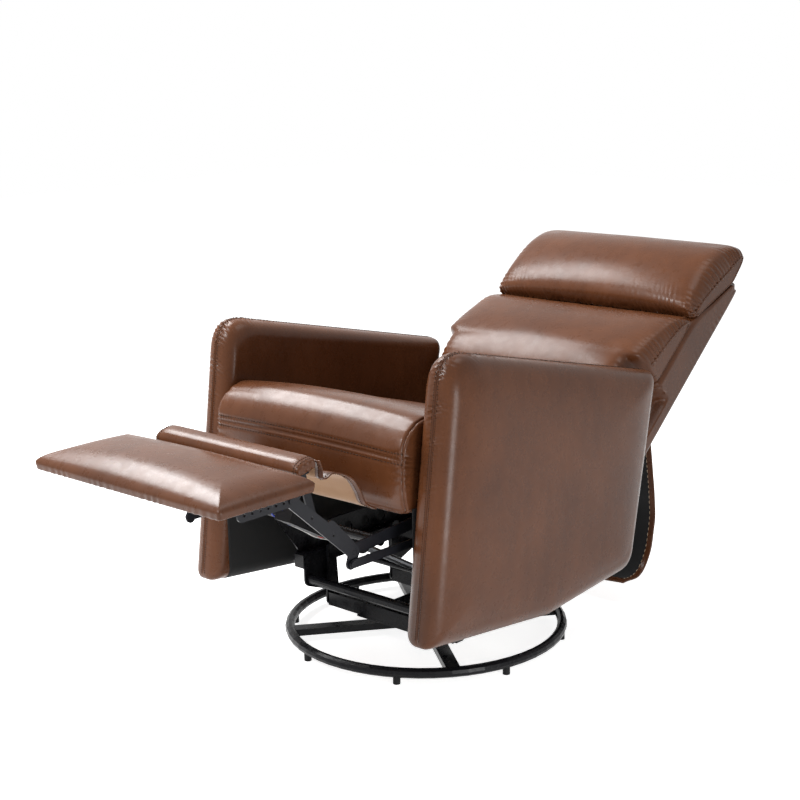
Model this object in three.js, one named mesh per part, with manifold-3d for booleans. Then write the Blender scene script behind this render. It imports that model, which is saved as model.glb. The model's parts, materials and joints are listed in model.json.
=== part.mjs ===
// Swivel glider recliner with a powered footrest, drawn reclined and with the footrest out.
// Millimetres, +Z up. The sitter faces -Y and +X is the sitter's left.
// Every height and depth below is measured from the centre of the floor ring, on the floor.
import * as THREE from "three";
import { mergeVertices } from "three/addons/utils/BufferGeometryUtils.js";
import Module from "manifold-3d";

const wasm = await Module();
wasm.setup();

// Fits and facets
const gap = 0.3;
const pinGap = 0.3;
const overrun = 4;
const roundSides = 14;
const pinSides = 10;
const smallHoleSides = 8;
const softSlices = 10;
const plainSlices = 6;
const sheetSlices = 2;

// Floor ring, its crossed bars and the glides under it
const ringRadius = 303;
const ringTubeRadius = 11;
const ringSteps = 56;
const ringTubeSides = 10;
const footCount = 8;
const footHeight = 13;
const footRadius = 8;
const footSaddle = 4;
const barWidth = 30;
const barHeight = 15;
const barAngle = -37.5;
const quarterTurn = 90;

// Turntable between the bars and the glider frame
const raceRadius = 75;
const racePlate = 4;
const raceTrackInner = 50;
const raceTrackOuter = 60;
const raceTrackHeight = 6;
const kingpinRadius = 8;

// Glider frame that turns, and the swing links that hang from its posts
const centrePlateThickness = 5;
const centrePlateHalfWidth = 95;
const channelWidth = 34;
const channelHeight = 30;
const channelWall = 3;
const swingDepth = 105;
const swingTop = 183;
const swingLength = 90;
const swingHalfWidth = 10;
const glidePinRadius = 5;
const postInner = 184.6;
const plateThickness = 4;
const layerGap = 1;
const postHalfWidth = 12;
const postFootHalfWidth = 20;

// Platform that glides: rails, crosstubes and the mechanism side plates
const railWidth = 28;
const railHeight = 30;
const railLow = 150;
const railFront = -184;
const railBack = 300;
const tubeRadius = 11;
const tubeWall = 2;
const tubeDepth = 165;
const tubeHeight = 122;
const hangerTubeMargin = 6;
const sideEdge = 16;
const sidePivotEdge = 14;
const lighteningRadius = 13;
const lighteningPitch = 56;
const lighteningRise = 36;
const sideFrontFoot = 48;
const standoffRadius = 12;
const standoffHeight = 215;
const standoffDepths = [-120, 210];

// Pivots of the footrest linkage, of the recline and of the drive, each [depth, height]
const rearPivot = [-221, 369];
const middlePivot = [-460, 353];
const footrestPivot = [-623, 493];
const guidePivot = [-262, 332];
const guideJoin = [-469, 332.1];
const guideSlack = 1.2;
const guideHalfWidth = 8.6;
const flapPivot = [-520, 418];
const drivePivot = [-371, 349];
const driveRear = [20, 125];
const backPivot = [330, 360];
const linkHalfWidth = 12;
const linkPinRadius = 5;
const rivetHead = 2;
const rivetHeadRadius = 7;
const linkHoleRadius = 3;

// Footrest: board, pad and the angle brackets with their row of holes
const footrestFront = -815;
const footrestBack = -585;
const footrestHalfWidth = 263;
const footrestBoardLow = 508;
const footrestBoard = 10;
const footrestEdge = 22;
const footrestCrown = 12;
const footrestCorner = 12;
const footrestSteps = 30;
const bracketHoles = 6;
const bracketHolePitch = 19;
const bracketHoleMargin = 16;
const bracketLength = bracketHoles * bracketHolePitch + bracketHoleMargin;
const bracketTail = 16;
const bracketHeight = 24;
const bracketFlange = 26;

// Flap that fills in behind the footrest
const flapDepth = 50;
const flapThickness = 22;
const flapHalfWidth = 205;
const flapCentre = [-549, 533];
const flapTilt = 12;
const flapArmInner = 186;
const flapArmHalfWidth = 9;
const flapSteps = 20;

// Leather apron from the flap back to the seat front
const apronThickness = 3;
const apronHalfWidth = 214;
const apronTop = [-524, 541];
const apronFold = [-502, 505];
const apronLow = [-440, 436];
const apronEnd = [-372, 413];
const apronSteps = 12;

// Linear drive of the footrest
const driveTubeRadius = 10;
const driveForward = 55;
const housingLength = 120;
const housingWidth = 44;
const housingDepth = 36;
const cylinderLength = 205;
const cylinderRadius = 17;
const rodRadius = 8;
const boreStart = 20;
const rodStart = 178;
const forkWidth = 22;
const forkWall = 5;
const driveBarRadius = 8;
const driveSlack = 10.8;
const driveSlackShort = 1.8;
const leadRadius = 2;
const leadSides = 8;
const leadSteps = 24;

// Route of the drive's lead, [across, back from the housing's front, up], round to its rear gland
const leadRoute = [
  [-8, -0.5, 4],
  [-8.4, -5, 4],
  [-14, -12, 3],
  [-24, -13, -2],
  [-32, -4, -8],
  [-30, 16, -14],
  [-26, 56, -16],
  [-25, 96, -17],
  [-26, 136, -19],
  [-23, 172, -14],
  [-20, 208, -8],
  [-19.4, 233, -3],
];

// Arms
const armThickness = 90;
const seatGap = 540;
const armCorner = 28;
const armSlices = 10;
const armOutlineSteps = 6;
const armFront = -378;
const armFrontHigh = -300;
const armTopFront = 723;
const armTopBack = 569;
const armBack = 394;
const armBackLow = 308;
const armLowFront = 151;
const armLowMiddle = 112;
const armLowBack = 141;
const armTopRadius = 62;
const armBackTopRadius = 22;
const armLowRadius = 17;
const armBackLowRadius = 46;

// Seat cushion and its deck
const seatSideGap = 0.6;
const seatFront = -358;
const seatBack = 262;
const seatLowFront = 400;
const seatLowBack = 345;
const seatCrownHeight = 592;
const seatCrownDepth = -285;
const seatBackHeight = 440;
const seatSeamHeight = 517;
const seatSeamDraw = 7;
const seatRound = 20;
const seatNose = 5;
const seatCrown = 10;
const seatSteps = 42;
const deckThickness = 14;
const deckFront = -205;

// Back, measured along its lean and out from its rear face
const backCorner = [491, 406];
const backLean = 40.6;
const backHalfWidth = 289;
const backLowHalfWidth = 264;
const backStepLow = 62;
const backStepHigh = 104;
const shellLow = -118;
const shellTop = 428;
const shellTopThickness = 30;
const shellPinch = 250;
const shellThickness = 96;
const shellEdge = 12;
const shellSteps = 34;
const cushionCrown = 182;
const cushionCrownPlace = 40;
const cushionLowCrown = 130;
const cushionMiddle = 12;
const cushionShoulder = 36;
const cushionSteps = 36;
const pinchRise = 24;
const pinchTuck = 3;
const headTip = 508;
const headTipHeight = 62;
const headTipReturn = 6;
const headBrow = 24;
const headSlopeHeight = 133;
const headUnderReach = 36;
const headCrown = 142;
const headCrownPlace = 335;
const headMiddle = 22;
const headSteps = 34;
const hingePlateReach = 26;
const hingePlateFar = 60;

// Skirt that hangs behind
const skirtThickness = 4;
const skirtHalfWidth = 258;
const skirtTuck = 22;
const skirtBulge = [522, 190];
const skirtHem = [394, 58];
const skirtEase = 12;
const skirtKnee = 20;
const skirtKneeDrop = 24;
const skirtSteps = 16;

const degrees = Math.PI / 180;
const mirrorSides = [["left", 1], ["right", -1]];

// Turns a drawing in depth and height into a solid that runs across the chair
const acrossChair = new THREE.Matrix4().makeBasis(
  new THREE.Vector3(0, 1, 0),
  new THREE.Vector3(0, 0, 1),
  new THREE.Vector3(1, 0, 0),
);

function material(name, colour, roughness, metalness) {
  return new THREE.MeshStandardMaterial({ name, color: colour, roughness, metalness });
}

const leather = material("leather", 0x6b4433, 0.42, 0);
const leatherInside = material("leather_inside", 0xa08060, 0.9, 0);
const blackSteel = material("black_steel", 0x15161a, 0.4, 0.7);
const steel = material("steel", 0x8c9096, 0.3, 0.9);
const blackPlastic = material("black_plastic", 0x101012, 0.5, 0);
const board = material("board", 0x9a7b55, 0.8, 0);

// Meshes with shared corners are what the join and cut calls take
function solidOf(geometry) {
  const bare = geometry.index ? geometry.toNonIndexed() : geometry.clone();
  bare.deleteAttribute("normal");
  bare.deleteAttribute("uv");
  const merged = mergeVertices(bare);
  const mesh = new wasm.Mesh({
    numProp: 3,
    vertProperties: new Float32Array(merged.attributes.position.array),
    triVerts: new Uint32Array(merged.index.array),
  });
  return new wasm.Manifold(mesh);
}

function geometryOf(solid) {
  const mesh = solid.getMesh();
  const geometry = new THREE.BufferGeometry();
  geometry.setAttribute("position", new THREE.BufferAttribute(mesh.vertProperties, 3));
  geometry.setIndex(new THREE.BufferAttribute(mesh.triVerts, 1));
  geometry.computeVertexNormals();
  return geometry;
}

function fuse(first, ...others) {
  return geometryOf(others.reduce((whole, next) => whole.add(solidOf(next)), solidOf(first)));
}

function cut(first, ...others) {
  return geometryOf(others.reduce((whole, next) => whole.subtract(solidOf(next)), solidOf(first)));
}

// The outline of a band stretched round discs, each [depth, height, radius]
function bandRound(discs) {
  const points = [];
  for (const [y, z, radius] of discs) {
    for (let step = 0; step < roundSides; step += 1) {
      const turn = (2 * Math.PI * step) / roundSides;
      points.push(new THREE.Vector2(y + radius * Math.cos(turn), z + radius * Math.sin(turn)));
    }
  }
  points.sort((a, b) => a.x - b.x || a.y - b.y);
  const turnsLeft = (o, a, b) => (a.x - o.x) * (b.y - o.y) - (a.y - o.y) * (b.x - o.x) > 0;
  const halfHull = (list) => {
    const hull = [];
    for (const point of list) {
      while (hull.length > 1 && !turnsLeft(hull.at(-2), hull.at(-1), point)) hull.pop();
      hull.push(point);
    }
    return hull.slice(0, -1);
  };
  return new THREE.Shape([...halfHull(points), ...halfHull([...points].reverse())]);
}

// A hole whose flat sides just clear a round of the given radius
function addHole(shape, y, z, clearRadius, sides = pinSides) {
  const radius = clearRadius / Math.cos(Math.PI / sides);
  const hole = new THREE.Path();
  for (let step = 0; step < sides; step += 1) {
    const turn = (-2 * Math.PI * step) / sides;
    const place = [y + radius * Math.cos(turn), z + radius * Math.sin(turn)];
    if (step === 0) hole.moveTo(...place);
    else hole.lineTo(...place);
  }
  hole.closePath();
  shape.holes.push(hole);
}

// Extrudes an outline across the chair from x = from to x = to
function platePiece(shape, from, to) {
  const low = Math.min(from, to);
  const geometry = new THREE.ExtrudeGeometry(shape, {
    depth: Math.abs(to - from),
    bevelEnabled: false,
    curveSegments: pinSides,
  });
  geometry.applyMatrix4(acrossChair);
  geometry.translate(low, 0, 0);
  return geometry;
}

// A round bar across the chair
function crossBar(y, z, radius, from, to, sides = pinSides) {
  const bar = new THREE.CylinderGeometry(radius, radius, Math.abs(to - from), sides);
  bar.rotateZ(Math.PI / 2);
  bar.translate((from + to) / 2, y, z);
  return bar;
}

// What is cut away for a bar of the given radius to turn in
function crossBore(y, z, clearRadius, from, to, sides = pinSides) {
  return crossBar(y, z, clearRadius / Math.cos(Math.PI / sides), from, to, sides);
}

// A rivet fixed in one plate, with its head past the last plate that turns on it
function rivet([y, z], from, to, side) {
  const headEnd = to + rivetHead * Math.sign(to - from);
  const shank = crossBar(y, z, linkPinRadius, side * from, side * to);
  const head = crossBar(y, z, rivetHeadRadius, side * to, side * headEnd);
  return [shank, head];
}

// A tube of circular section across the chair, open at both ends
function crossTube(y, z, radius, wall, halfLength) {
  const shape = bandRound([[y, z, radius]]);
  addHole(shape, y, z, radius - wall, roundSides);
  return platePiece(shape, -halfLength, halfLength);
}

function boxPiece(x0, x1, y0, y1, z0, z1) {
  const geometry = new THREE.BoxGeometry(x1 - x0, y1 - y0, z1 - z0);
  geometry.translate((x0 + x1) / 2, (y0 + y1) / 2, (z0 + z1) / 2);
  return geometry;
}

// A closed form made of one loop in depth and height, repeated across the chair.
// draw(share, halfWidth) gives how far the loop is drawn in and how far its crown stands there.
function loftAcross(loop, halfWidth, slices, draw, { sheet = false, widthAt = () => 1 } = {}) {
  const points = [];
  const centre = loop.reduce((sum, p) => sum.add(p), new THREE.Vector2()).divideScalar(loop.length);
  const box = new THREE.Box2().setFromPoints(loop);
  const half = box.getSize(new THREE.Vector2()).divideScalar(2);
  for (let slice = 0; slice <= slices; slice += 1) {
    const share = Math.cos((Math.PI * slice) / slices);
    const [inset, crown] = draw(share, halfWidth);
    for (const point of loop) {
      const dy = (point.x - centre.x) * (1 - inset / half.x);
      const dz = (point.y - centre.y) * (1 - inset / half.y);
      const rise = Math.max(0, point.y - centre.y) / half.y;
      points.push(-halfWidth * share * widthAt(point.x), centre.x + dy, centre.y + dz + crown * rise);
    }
  }
  const count = loop.length;
  const faces = [];
  for (let slice = 0; slice < slices; slice += 1) {
    for (let step = 0; step < count; step += 1) {
      const a = slice * count + step;
      const b = slice * count + ((step + 1) % count);
      faces.push(a, b + count, b, a, a + count, b + count);
    }
  }
  const last = slices * count;
  if (sheet) {
    for (let step = 0; step < count / 2 - 1; step += 1) {
      const [a, b, c, d] = [step, step + 1, count - 2 - step, count - 1 - step];
      faces.push(a, b, c, a, c, d, last + a, last + c, last + b, last + a, last + d, last + c);
    }
  } else {
    const hub = points.length / 3;
    points.push(points[0], centre.x, centre.y, points[last * 3], centre.x, centre.y);
    for (let step = 0; step < count; step += 1) {
      const next = (step + 1) % count;
      faces.push(hub, step, next, hub + 1, last + next, last + step);
    }
  }
  const geometry = new THREE.BufferGeometry();
  geometry.setAttribute("position", new THREE.Float32BufferAttribute(points, 3));
  geometry.setIndex(faces);
  return outwards(geometry);
}

// Makes every face point out, whichever way round the loop was drawn
function outwards(geometry) {
  const position = geometry.attributes.position;
  const corners = [0, 1, 2].map(() => new THREE.Vector3());
  let volume = 0;
  for (let face = 0; face < geometry.index.count; face += 3) {
    corners.forEach((corner, k) => corner.fromBufferAttribute(position, geometry.index.getX(face + k)));
    volume += corners[0].dot(corners[1].clone().cross(corners[2]));
  }
  if (volume < 0) geometry.setIndex([...geometry.index.array].reverse());
  geometry.computeVertexNormals();
  return geometry;
}

// Outline of a pad: a smooth line through the places, closed by the flat side that it rests on.
// onFlat holds any places that the flat side needs between its two ends.
function padOutline(places, count, onFlat = []) {
  const knots = places.map(([y, z]) => new THREE.Vector3(0, y, z));
  const curve = new THREE.CatmullRomCurve3(knots, false, "centripetal");
  const line = curve.getSpacedPoints(count).map((p) => new THREE.Vector2(p.y, p.z));
  return [...line, ...onFlat.map(([y, z]) => new THREE.Vector2(y, z))];
}

// A closed loop round a sheet of even thickness that follows an open smooth line
function sheetLoop(places, thickness, count) {
  const knots = places.map(([y, z]) => new THREE.Vector3(0, y, z));
  const line = new THREE.CatmullRomCurve3(knots, false, "centripetal");
  const upper = [];
  const lower = [];
  for (let step = 0; step <= count; step += 1) {
    const point = line.getPointAt(step / count);
    const along = line.getTangentAt(step / count);
    const out = new THREE.Vector2(-along.z, along.y).multiplyScalar(thickness / 2);
    upper.push(new THREE.Vector2(point.y, point.z).add(out));
    lower.push(new THREE.Vector2(point.y, point.z).sub(out));
  }
  return [...upper, ...lower.reverse()];
}

// An outline with straight edges and rounded corners, each [depth, height, radius]
function roundedOutline(corners) {
  const shape = new THREE.Shape();
  const count = corners.length;
  corners.forEach(([y, z, radius], index) => {
    const here = new THREE.Vector2(y, z);
    const [py, pz] = corners[(index + count - 1) % count];
    const [ny, nz] = corners[(index + 1) % count];
    const back = new THREE.Vector2(py, pz).sub(here).normalize();
    const ahead = new THREE.Vector2(ny, nz).sub(here).normalize();
    const bend = Math.acos(THREE.MathUtils.clamp(back.dot(ahead), -1, 1));
    const trim = radius / Math.tan(bend / 2);
    const start = here.clone().addScaledVector(back, trim);
    const end = here.clone().addScaledVector(ahead, trim);
    if (index === 0) shape.moveTo(start.x, start.y);
    else shape.lineTo(start.x, start.y);
    shape.quadraticCurveTo(here.x, here.y, end.x, end.y);
  });
  shape.closePath();
  return shape;
}

// Ends that round over by a radius, with a crown that falls to nothing at the sides
function roundedEnds(radius, crown) {
  return (share, halfWidth) => {
    const past = Math.max(0, Math.abs(share) * halfWidth - (halfWidth - radius));
    const inset = radius - Math.sqrt(Math.max(0, radius * radius - past * past));
    return [inset, crown * (1 - share * share)];
  };
}

const noDraw = () => [0, 0];

function mesh(group, name, geometry, finish) {
  const piece = new THREE.Mesh(geometry, finish);
  piece.name = name;
  group.add(piece);
  return piece;
}

const recliner = new THREE.Group();

// Each moving body is a group inside the one that carries it
const turntable = new THREE.Group();
const platform = new THREE.Group();
const footrest = new THREE.Group();
const back = new THREE.Group();
recliner.add(turntable);
turntable.add(platform);
platform.add(footrest, back);

// Heights of the stack that stands on the crossed bars
const ringHeight = footHeight + ringTubeRadius;
const barTop = ringHeight + barHeight / 2;
const raceLow = barTop + gap;
const raceTrackTop = raceLow + racePlate + raceTrackHeight;
const upperRaceLow = raceTrackTop + gap;
const centrePlateLow = upperRaceLow + racePlate + gap;
const channelLow = centrePlateLow + centrePlateThickness + gap;
const channelTop = channelLow + channelHeight;

// Layers across the chair, from the glider posts out to the arms
const postOuter = postInner + plateThickness;
const swingInner = postOuter + layerGap;
const swingOuter = swingInner + plateThickness;
const hangerInner = swingOuter + layerGap;
const railInner = hangerInner + plateThickness / 2;
const railOuter = railInner + railWidth;
const sideInner = railOuter + gap;
const sideOuter = sideInner + plateThickness;
const rearLinkOuter = sideInner - layerGap;
const rearLinkInner = rearLinkOuter - plateThickness;
const frontLinkInner = sideOuter + layerGap;
const frontLinkOuter = frontLinkInner + plateThickness;
const guideInner = frontLinkOuter + layerGap;
const guideOuter = guideInner + plateThickness;
const armInner = seatGap / 2;

function torus(radius, tubeRadiusHere, height) {
  const geometry = new THREE.TorusGeometry(radius, tubeRadiusHere, ringTubeSides, ringSteps);
  geometry.translate(0, 0, height);
  return geometry;
}

// Floor ring
function makeFloorBase(group) {
  mesh(group, "base_ring", torus(ringRadius, ringTubeRadius, ringHeight), blackSteel);
  const ringRoom = torus(ringRadius, ringTubeRadius + gap, ringHeight);

  const reach = ringRadius;
  const bars = [0, 1].map((turn) => {
    const bar = boxPiece(-reach, reach, -barWidth / 2, barWidth / 2, ringHeight - barHeight / 2, barTop);
    return bar.rotateZ((barAngle + quarterTurn * turn) * degrees);
  });
  mesh(group, "base_bars", cut(fuse(...bars), ringRoom), blackSteel);

  const glide = new THREE.LatheGeometry([
    new THREE.Vector2(0, 0),
    new THREE.Vector2(footRadius, 0),
    new THREE.Vector2(footRadius, footHeight + footSaddle),
    new THREE.Vector2(0, footHeight + footSaddle),
  ], pinSides);
  glide.rotateX(Math.PI / 2);
  for (let index = 0; index < footCount; index += 1) {
    const angle = ((index + 1 / 2) * 2 * Math.PI) / footCount + barAngle * degrees;
    const place = glide.clone().translate(ringRadius * Math.cos(angle), ringRadius * Math.sin(angle), 0);
    mesh(group, `foot_${index + 1}`, cut(place, ringRoom), blackPlastic);
  }

  const race = new THREE.LatheGeometry([
    new THREE.Vector2(kingpinRadius + pinGap, 0),
    new THREE.Vector2(raceRadius, 0),
    new THREE.Vector2(raceRadius, racePlate),
    new THREE.Vector2(raceTrackOuter, racePlate),
    new THREE.Vector2(raceTrackOuter, racePlate + raceTrackHeight),
    new THREE.Vector2(raceTrackInner, racePlate + raceTrackHeight),
    new THREE.Vector2(raceTrackInner, racePlate),
    new THREE.Vector2(kingpinRadius + pinGap, racePlate),
    new THREE.Vector2(kingpinRadius + pinGap, 0),
  ], roundSides + pinSides);
  race.rotateX(Math.PI / 2);
  mesh(group, "swivel_race_lower", race, steel).position.z = raceLow;
}

// Frame that turns on the base, with the posts that the swing links hang from
function makeTurntable(group) {
  const race = new THREE.LatheGeometry([
    new THREE.Vector2(0, raceLow),
    new THREE.Vector2(kingpinRadius, raceLow),
    new THREE.Vector2(kingpinRadius, upperRaceLow),
    new THREE.Vector2(raceRadius, upperRaceLow),
    new THREE.Vector2(raceRadius, upperRaceLow + racePlate),
    new THREE.Vector2(0, upperRaceLow + racePlate),
  ], roundSides + pinSides);
  race.rotateX(Math.PI / 2);
  mesh(group, "swivel_race_upper", race, steel);

  const plateDepth = swingDepth + channelWidth / 2;
  const plate = boxPiece(-centrePlateHalfWidth, centrePlateHalfWidth, -plateDepth, plateDepth,
    centrePlateLow, centrePlateLow + centrePlateThickness);
  mesh(group, "glider_centre_plate", plate, blackSteel);

  const channelHalfLength = postInner - gap;
  for (const [end, way] of [["front", -1], ["rear", 1]]) {
    const y = way * swingDepth;
    const outer = channelWidth / 2;
    const inner = outer - channelWall;
    const section = new THREE.Shape([
      new THREE.Vector2(y - outer, channelLow),
      new THREE.Vector2(y - inner, channelLow),
      new THREE.Vector2(y - inner, channelTop - channelWall),
      new THREE.Vector2(y + inner, channelTop - channelWall),
      new THREE.Vector2(y + inner, channelLow),
      new THREE.Vector2(y + outer, channelLow),
      new THREE.Vector2(y + outer, channelTop),
      new THREE.Vector2(y - outer, channelTop),
    ]);
    mesh(group, `glider_channel_${end}`, platePiece(section, -channelHalfLength, channelHalfLength), blackSteel);

    for (const [name, side] of mirrorSides) {
      const foot = postFootHalfWidth - postHalfWidth;
      const outline = bandRound([
        [y, swingTop, postHalfWidth],
        [y - foot, channelLow + postHalfWidth, postHalfWidth],
        [y + foot, channelLow + postHalfWidth, postHalfWidth],
      ]);
      const post = platePiece(outline, side * postInner, side * postOuter);
      const pin = crossBar(y, swingTop, glidePinRadius, side * postInner, side * swingOuter);
      mesh(group, `glider_post_${end}_${name}`, fuse(post, pin), blackSteel);
    }
  }
}

// One hanging swing link at each corner
function makeSwingLinks(group) {
  for (const [end, way] of [["front", -1], ["rear", 1]]) {
    for (const [name, side] of mirrorSides) {
      const y = way * swingDepth;
      const low = swingTop - swingLength;
      const outline = bandRound([[y, swingTop, swingHalfWidth], [y, low, swingHalfWidth]]);
      addHole(outline, y, swingTop, glidePinRadius + pinGap);
      addHole(outline, y, low, glidePinRadius + pinGap);
      mesh(group, `swing_link_${end}_${name}`, platePiece(outline, side * swingInner, side * swingOuter), blackSteel);
    }
  }
}

// Rails with the hangers that stand on the swing links, and the tubes between them
function makePlatform(group) {
  const low = swingTop - swingLength;
  const bossRadius = swingHalfWidth + layerGap;
  for (const [name, side] of mirrorSides) {
    const rail = boxPiece(...[side * railInner, side * railOuter].sort((a, b) => a - b),
      railFront, railBack, railLow, railLow + railHeight);
    const additions = [];
    for (const way of [-1, 1]) {
      const outline = bandRound([
        [way * swingDepth, low, bossRadius],
        [way * tubeDepth, tubeHeight, tubeRadius + hangerTubeMargin],
        [way * (tubeDepth + hangerTubeMargin), railLow + railHeight / 2, bossRadius],
        [way * swingDepth, railLow + bossRadius, bossRadius],
      ]);
      additions.push(platePiece(outline, side * hangerInner, side * (hangerInner + plateThickness)));
      additions.push(crossBar(way * swingDepth, low, glidePinRadius, side * swingInner, side * railInner));
    }
    mesh(group, `platform_rail_${name}`, fuse(rail, ...additions), blackSteel);
  }
  const halfLength = hangerInner - gap;
  mesh(group, "platform_tube_front", crossTube(-tubeDepth, tubeHeight, tubeRadius, tubeWall, halfLength), blackSteel);
  mesh(group, "platform_tube_rear", crossTube(tubeDepth, tubeHeight, tubeRadius, tubeWall, halfLength), blackSteel);
}

// Side plates of the mechanism, with the rivets of the pivots and the stand-offs of the arms
function makeSidePlates(group) {
  const railMiddle = railLow + railHeight / 2;
  for (const [name, side] of mirrorSides) {
    const lower = bandRound([
      [railFront + sideEdge, railMiddle, sideEdge],
      [railBack - sideEdge, railMiddle, sideEdge],
      [standoffDepths[1], standoffHeight, standoffRadius + hangerTubeMargin],
      [standoffDepths[0], standoffHeight, standoffRadius + hangerTubeMargin],
    ]);
    const front = bandRound([
      [railFront + sideFrontFoot, railMiddle, sideEdge],
      [...guidePivot, sidePivotEdge],
      [...rearPivot, sidePivotEdge],
      [standoffDepths[0], standoffHeight, sidePivotEdge],
    ]);
    const rear = bandRound([
      [railBack - sideEdge, railMiddle, sideEdge],
      [...backPivot, sidePivotEdge],
      [standoffDepths[1], standoffHeight, sidePivotEdge],
    ]);
    const pieces = [lower, front, rear].map((shape) => platePiece(shape, side * sideInner, side * sideOuter));
    const holes = [-2, -1, 0, 1, 2].map((step) => {
      const y = (standoffDepths[0] + standoffDepths[1]) / 2 + step * lighteningPitch;
      return crossBar(y, railMiddle + lighteningRise, lighteningRadius,
        side * (sideInner - overrun), side * (sideOuter + overrun), roundSides);
    });
    const standoffs = standoffDepths.map((y) => crossBar(y, standoffHeight, standoffRadius,
      side * (sideInner + plateThickness / 2), side * (armInner - gap), roundSides));
    const rivets = [
      ...rivet(rearPivot, sideOuter, rearLinkInner - pinGap, side),
      ...rivet(guidePivot, sideInner, guideOuter + pinGap, side),
      ...rivet(backPivot, sideInner, frontLinkOuter + pinGap, side),
    ];
    const plate = cut(fuse(pieces[0], pieces[1], pieces[2]), ...holes);
    mesh(group, `side_plate_${name}`, fuse(plate, ...standoffs, ...rivets), blackSteel);
  }
}

// The four links on each side that carry the footrest
function makeFootrestLinks(group) {
  for (const [name, side] of mirrorSides) {
    const rearShape = bandRound([[...rearPivot, linkHalfWidth], [...middlePivot, linkHalfWidth]]);
    addHole(rearShape, ...rearPivot, linkPinRadius + pinGap);
    const rearPlate = platePiece(rearShape, side * rearLinkInner, side * rearLinkOuter);
    const flushPin = crossBar(...middlePivot, linkPinRadius, side * rearLinkInner, side * frontLinkOuter);
    mesh(group, `rear_link_${name}`, fuse(rearPlate, flushPin), blackSteel);

    const boss = linkHalfWidth + rivetHead;
    const frontPieces = [
      bandRound([[...middlePivot, boss], [...footrestPivot, linkHalfWidth]]),
      bandRound([[...middlePivot, boss], [...guideJoin, linkHalfWidth]]),
      bandRound([[...middlePivot, boss], [...flapPivot, linkHalfWidth]]),
    ];
    const plates = frontPieces.map((shape) => platePiece(shape, side * frontLinkInner, side * frontLinkOuter));
    const through = [side * (frontLinkInner - overrun), side * (frontLinkOuter + overrun)];
    const pivotHole = crossBore(...middlePivot, linkPinRadius + pinGap, ...through);
    const spareHoles = [1 / 3, 2 / 3].map((share) => {
      const y = THREE.MathUtils.lerp(footrestPivot[0], middlePivot[0], share);
      const z = THREE.MathUtils.lerp(footrestPivot[1], middlePivot[1], share);
      return crossBar(y, z, linkHoleRadius, ...through);
    });
    const frontPlate = cut(fuse(...plates), pivotHole, ...spareHoles);
    const pins = [
      ...rivet(footrestPivot, frontLinkInner, guideOuter + pinGap, side),
      ...rivet(guideJoin, frontLinkInner, guideOuter + pinGap, side),
      crossBar(...flapPivot, linkPinRadius, side * frontLinkOuter, side * flapArmInner),
    ];
    mesh(group, `front_link_${name}`, fuse(frontPlate, ...pins), blackSteel);

    const guideShape = bandRound([[...guidePivot, guideHalfWidth], [...guideJoin, guideHalfWidth]]);
    addHole(guideShape, ...guidePivot, linkPinRadius + pinGap);
    addHole(guideShape, ...guideJoin, linkPinRadius + guideSlack);
    mesh(group, `guide_link_${name}`, platePiece(guideShape, side * guideInner, side * guideOuter), blackSteel);
  }
  const bar = crossTube(...drivePivot, driveTubeRadius, tubeWall, rearLinkInner - gap);
  mesh(group, "drive_tube", bar, blackSteel);
}

// Footrest board, its pad and the two angle brackets under it
function makeFootrest(group) {
  const boardTop = footrestBoardLow + footrestBoard;
  const inset = footrestEdge / 2;
  const halfBoard = footrestHalfWidth - inset;
  const plank = boxPiece(-halfBoard, halfBoard, footrestFront + inset, footrestBack - inset,
    footrestBoardLow, boardTop);
  mesh(group, "footrest_board", plank, board);

  const low = boardTop + gap;
  const high = low + footrestEdge;
  const middle = (low + high) / 2;
  const centre = (footrestFront + footrestBack) / 2;
  const half = (footrestBack - footrestFront) / 2;
  const loop = padOutline([
    [footrestBack - inset, low],
    [footrestBack, middle],
    [footrestBack - inset, high],
    [centre + half / 2, high + footrestCrown / 2],
    [centre, high + footrestCrown / 2],
    [centre - half / 2, high + footrestCrown / 2],
    [footrestFront + inset, high],
    [footrestFront, middle],
    [footrestFront + inset, low],
  ], footrestSteps);
  const pad = loftAcross(loop, footrestHalfWidth, softSlices, roundedEnds(footrestCorner, footrestCrown / 2));
  mesh(group, "footrest_pad", pad, leather);

  const [pivotY, pivotZ] = footrestPivot;
  for (const [name, side] of mirrorSides) {
    const halfHeight = bracketHeight / 2;
    const web = bandRound([
      [pivotY + bracketTail - halfHeight, pivotZ, halfHeight],
      [pivotY - bracketLength + halfHeight, pivotZ, halfHeight],
      [pivotY - bracketLength + halfHeight / 2, footrestBoardLow - gap - halfHeight / 2, halfHeight / 2],
      [footrestBack - inset - halfHeight / 2, footrestBoardLow - gap - halfHeight / 2, halfHeight / 2],
    ]);
    addHole(web, pivotY, pivotZ, linkPinRadius + pinGap);
    for (let hole = 1; hole <= bracketHoles; hole += 1) {
      addHole(web, pivotY - hole * bracketHolePitch, pivotZ, linkHoleRadius, smallHoleSides);
    }
    const flange = boxPiece(
      ...[side * (guideOuter - bracketFlange), side * guideOuter].sort((a, b) => a - b),
      pivotY - bracketLength + halfHeight, pivotY - linkHalfWidth - rivetHead,
      footrestBoardLow - gap - plateThickness, footrestBoardLow - gap);
    mesh(group, `footrest_bracket_${name}`,
      fuse(platePiece(web, side * guideInner, side * guideOuter), flange), blackSteel);
  }
}

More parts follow.
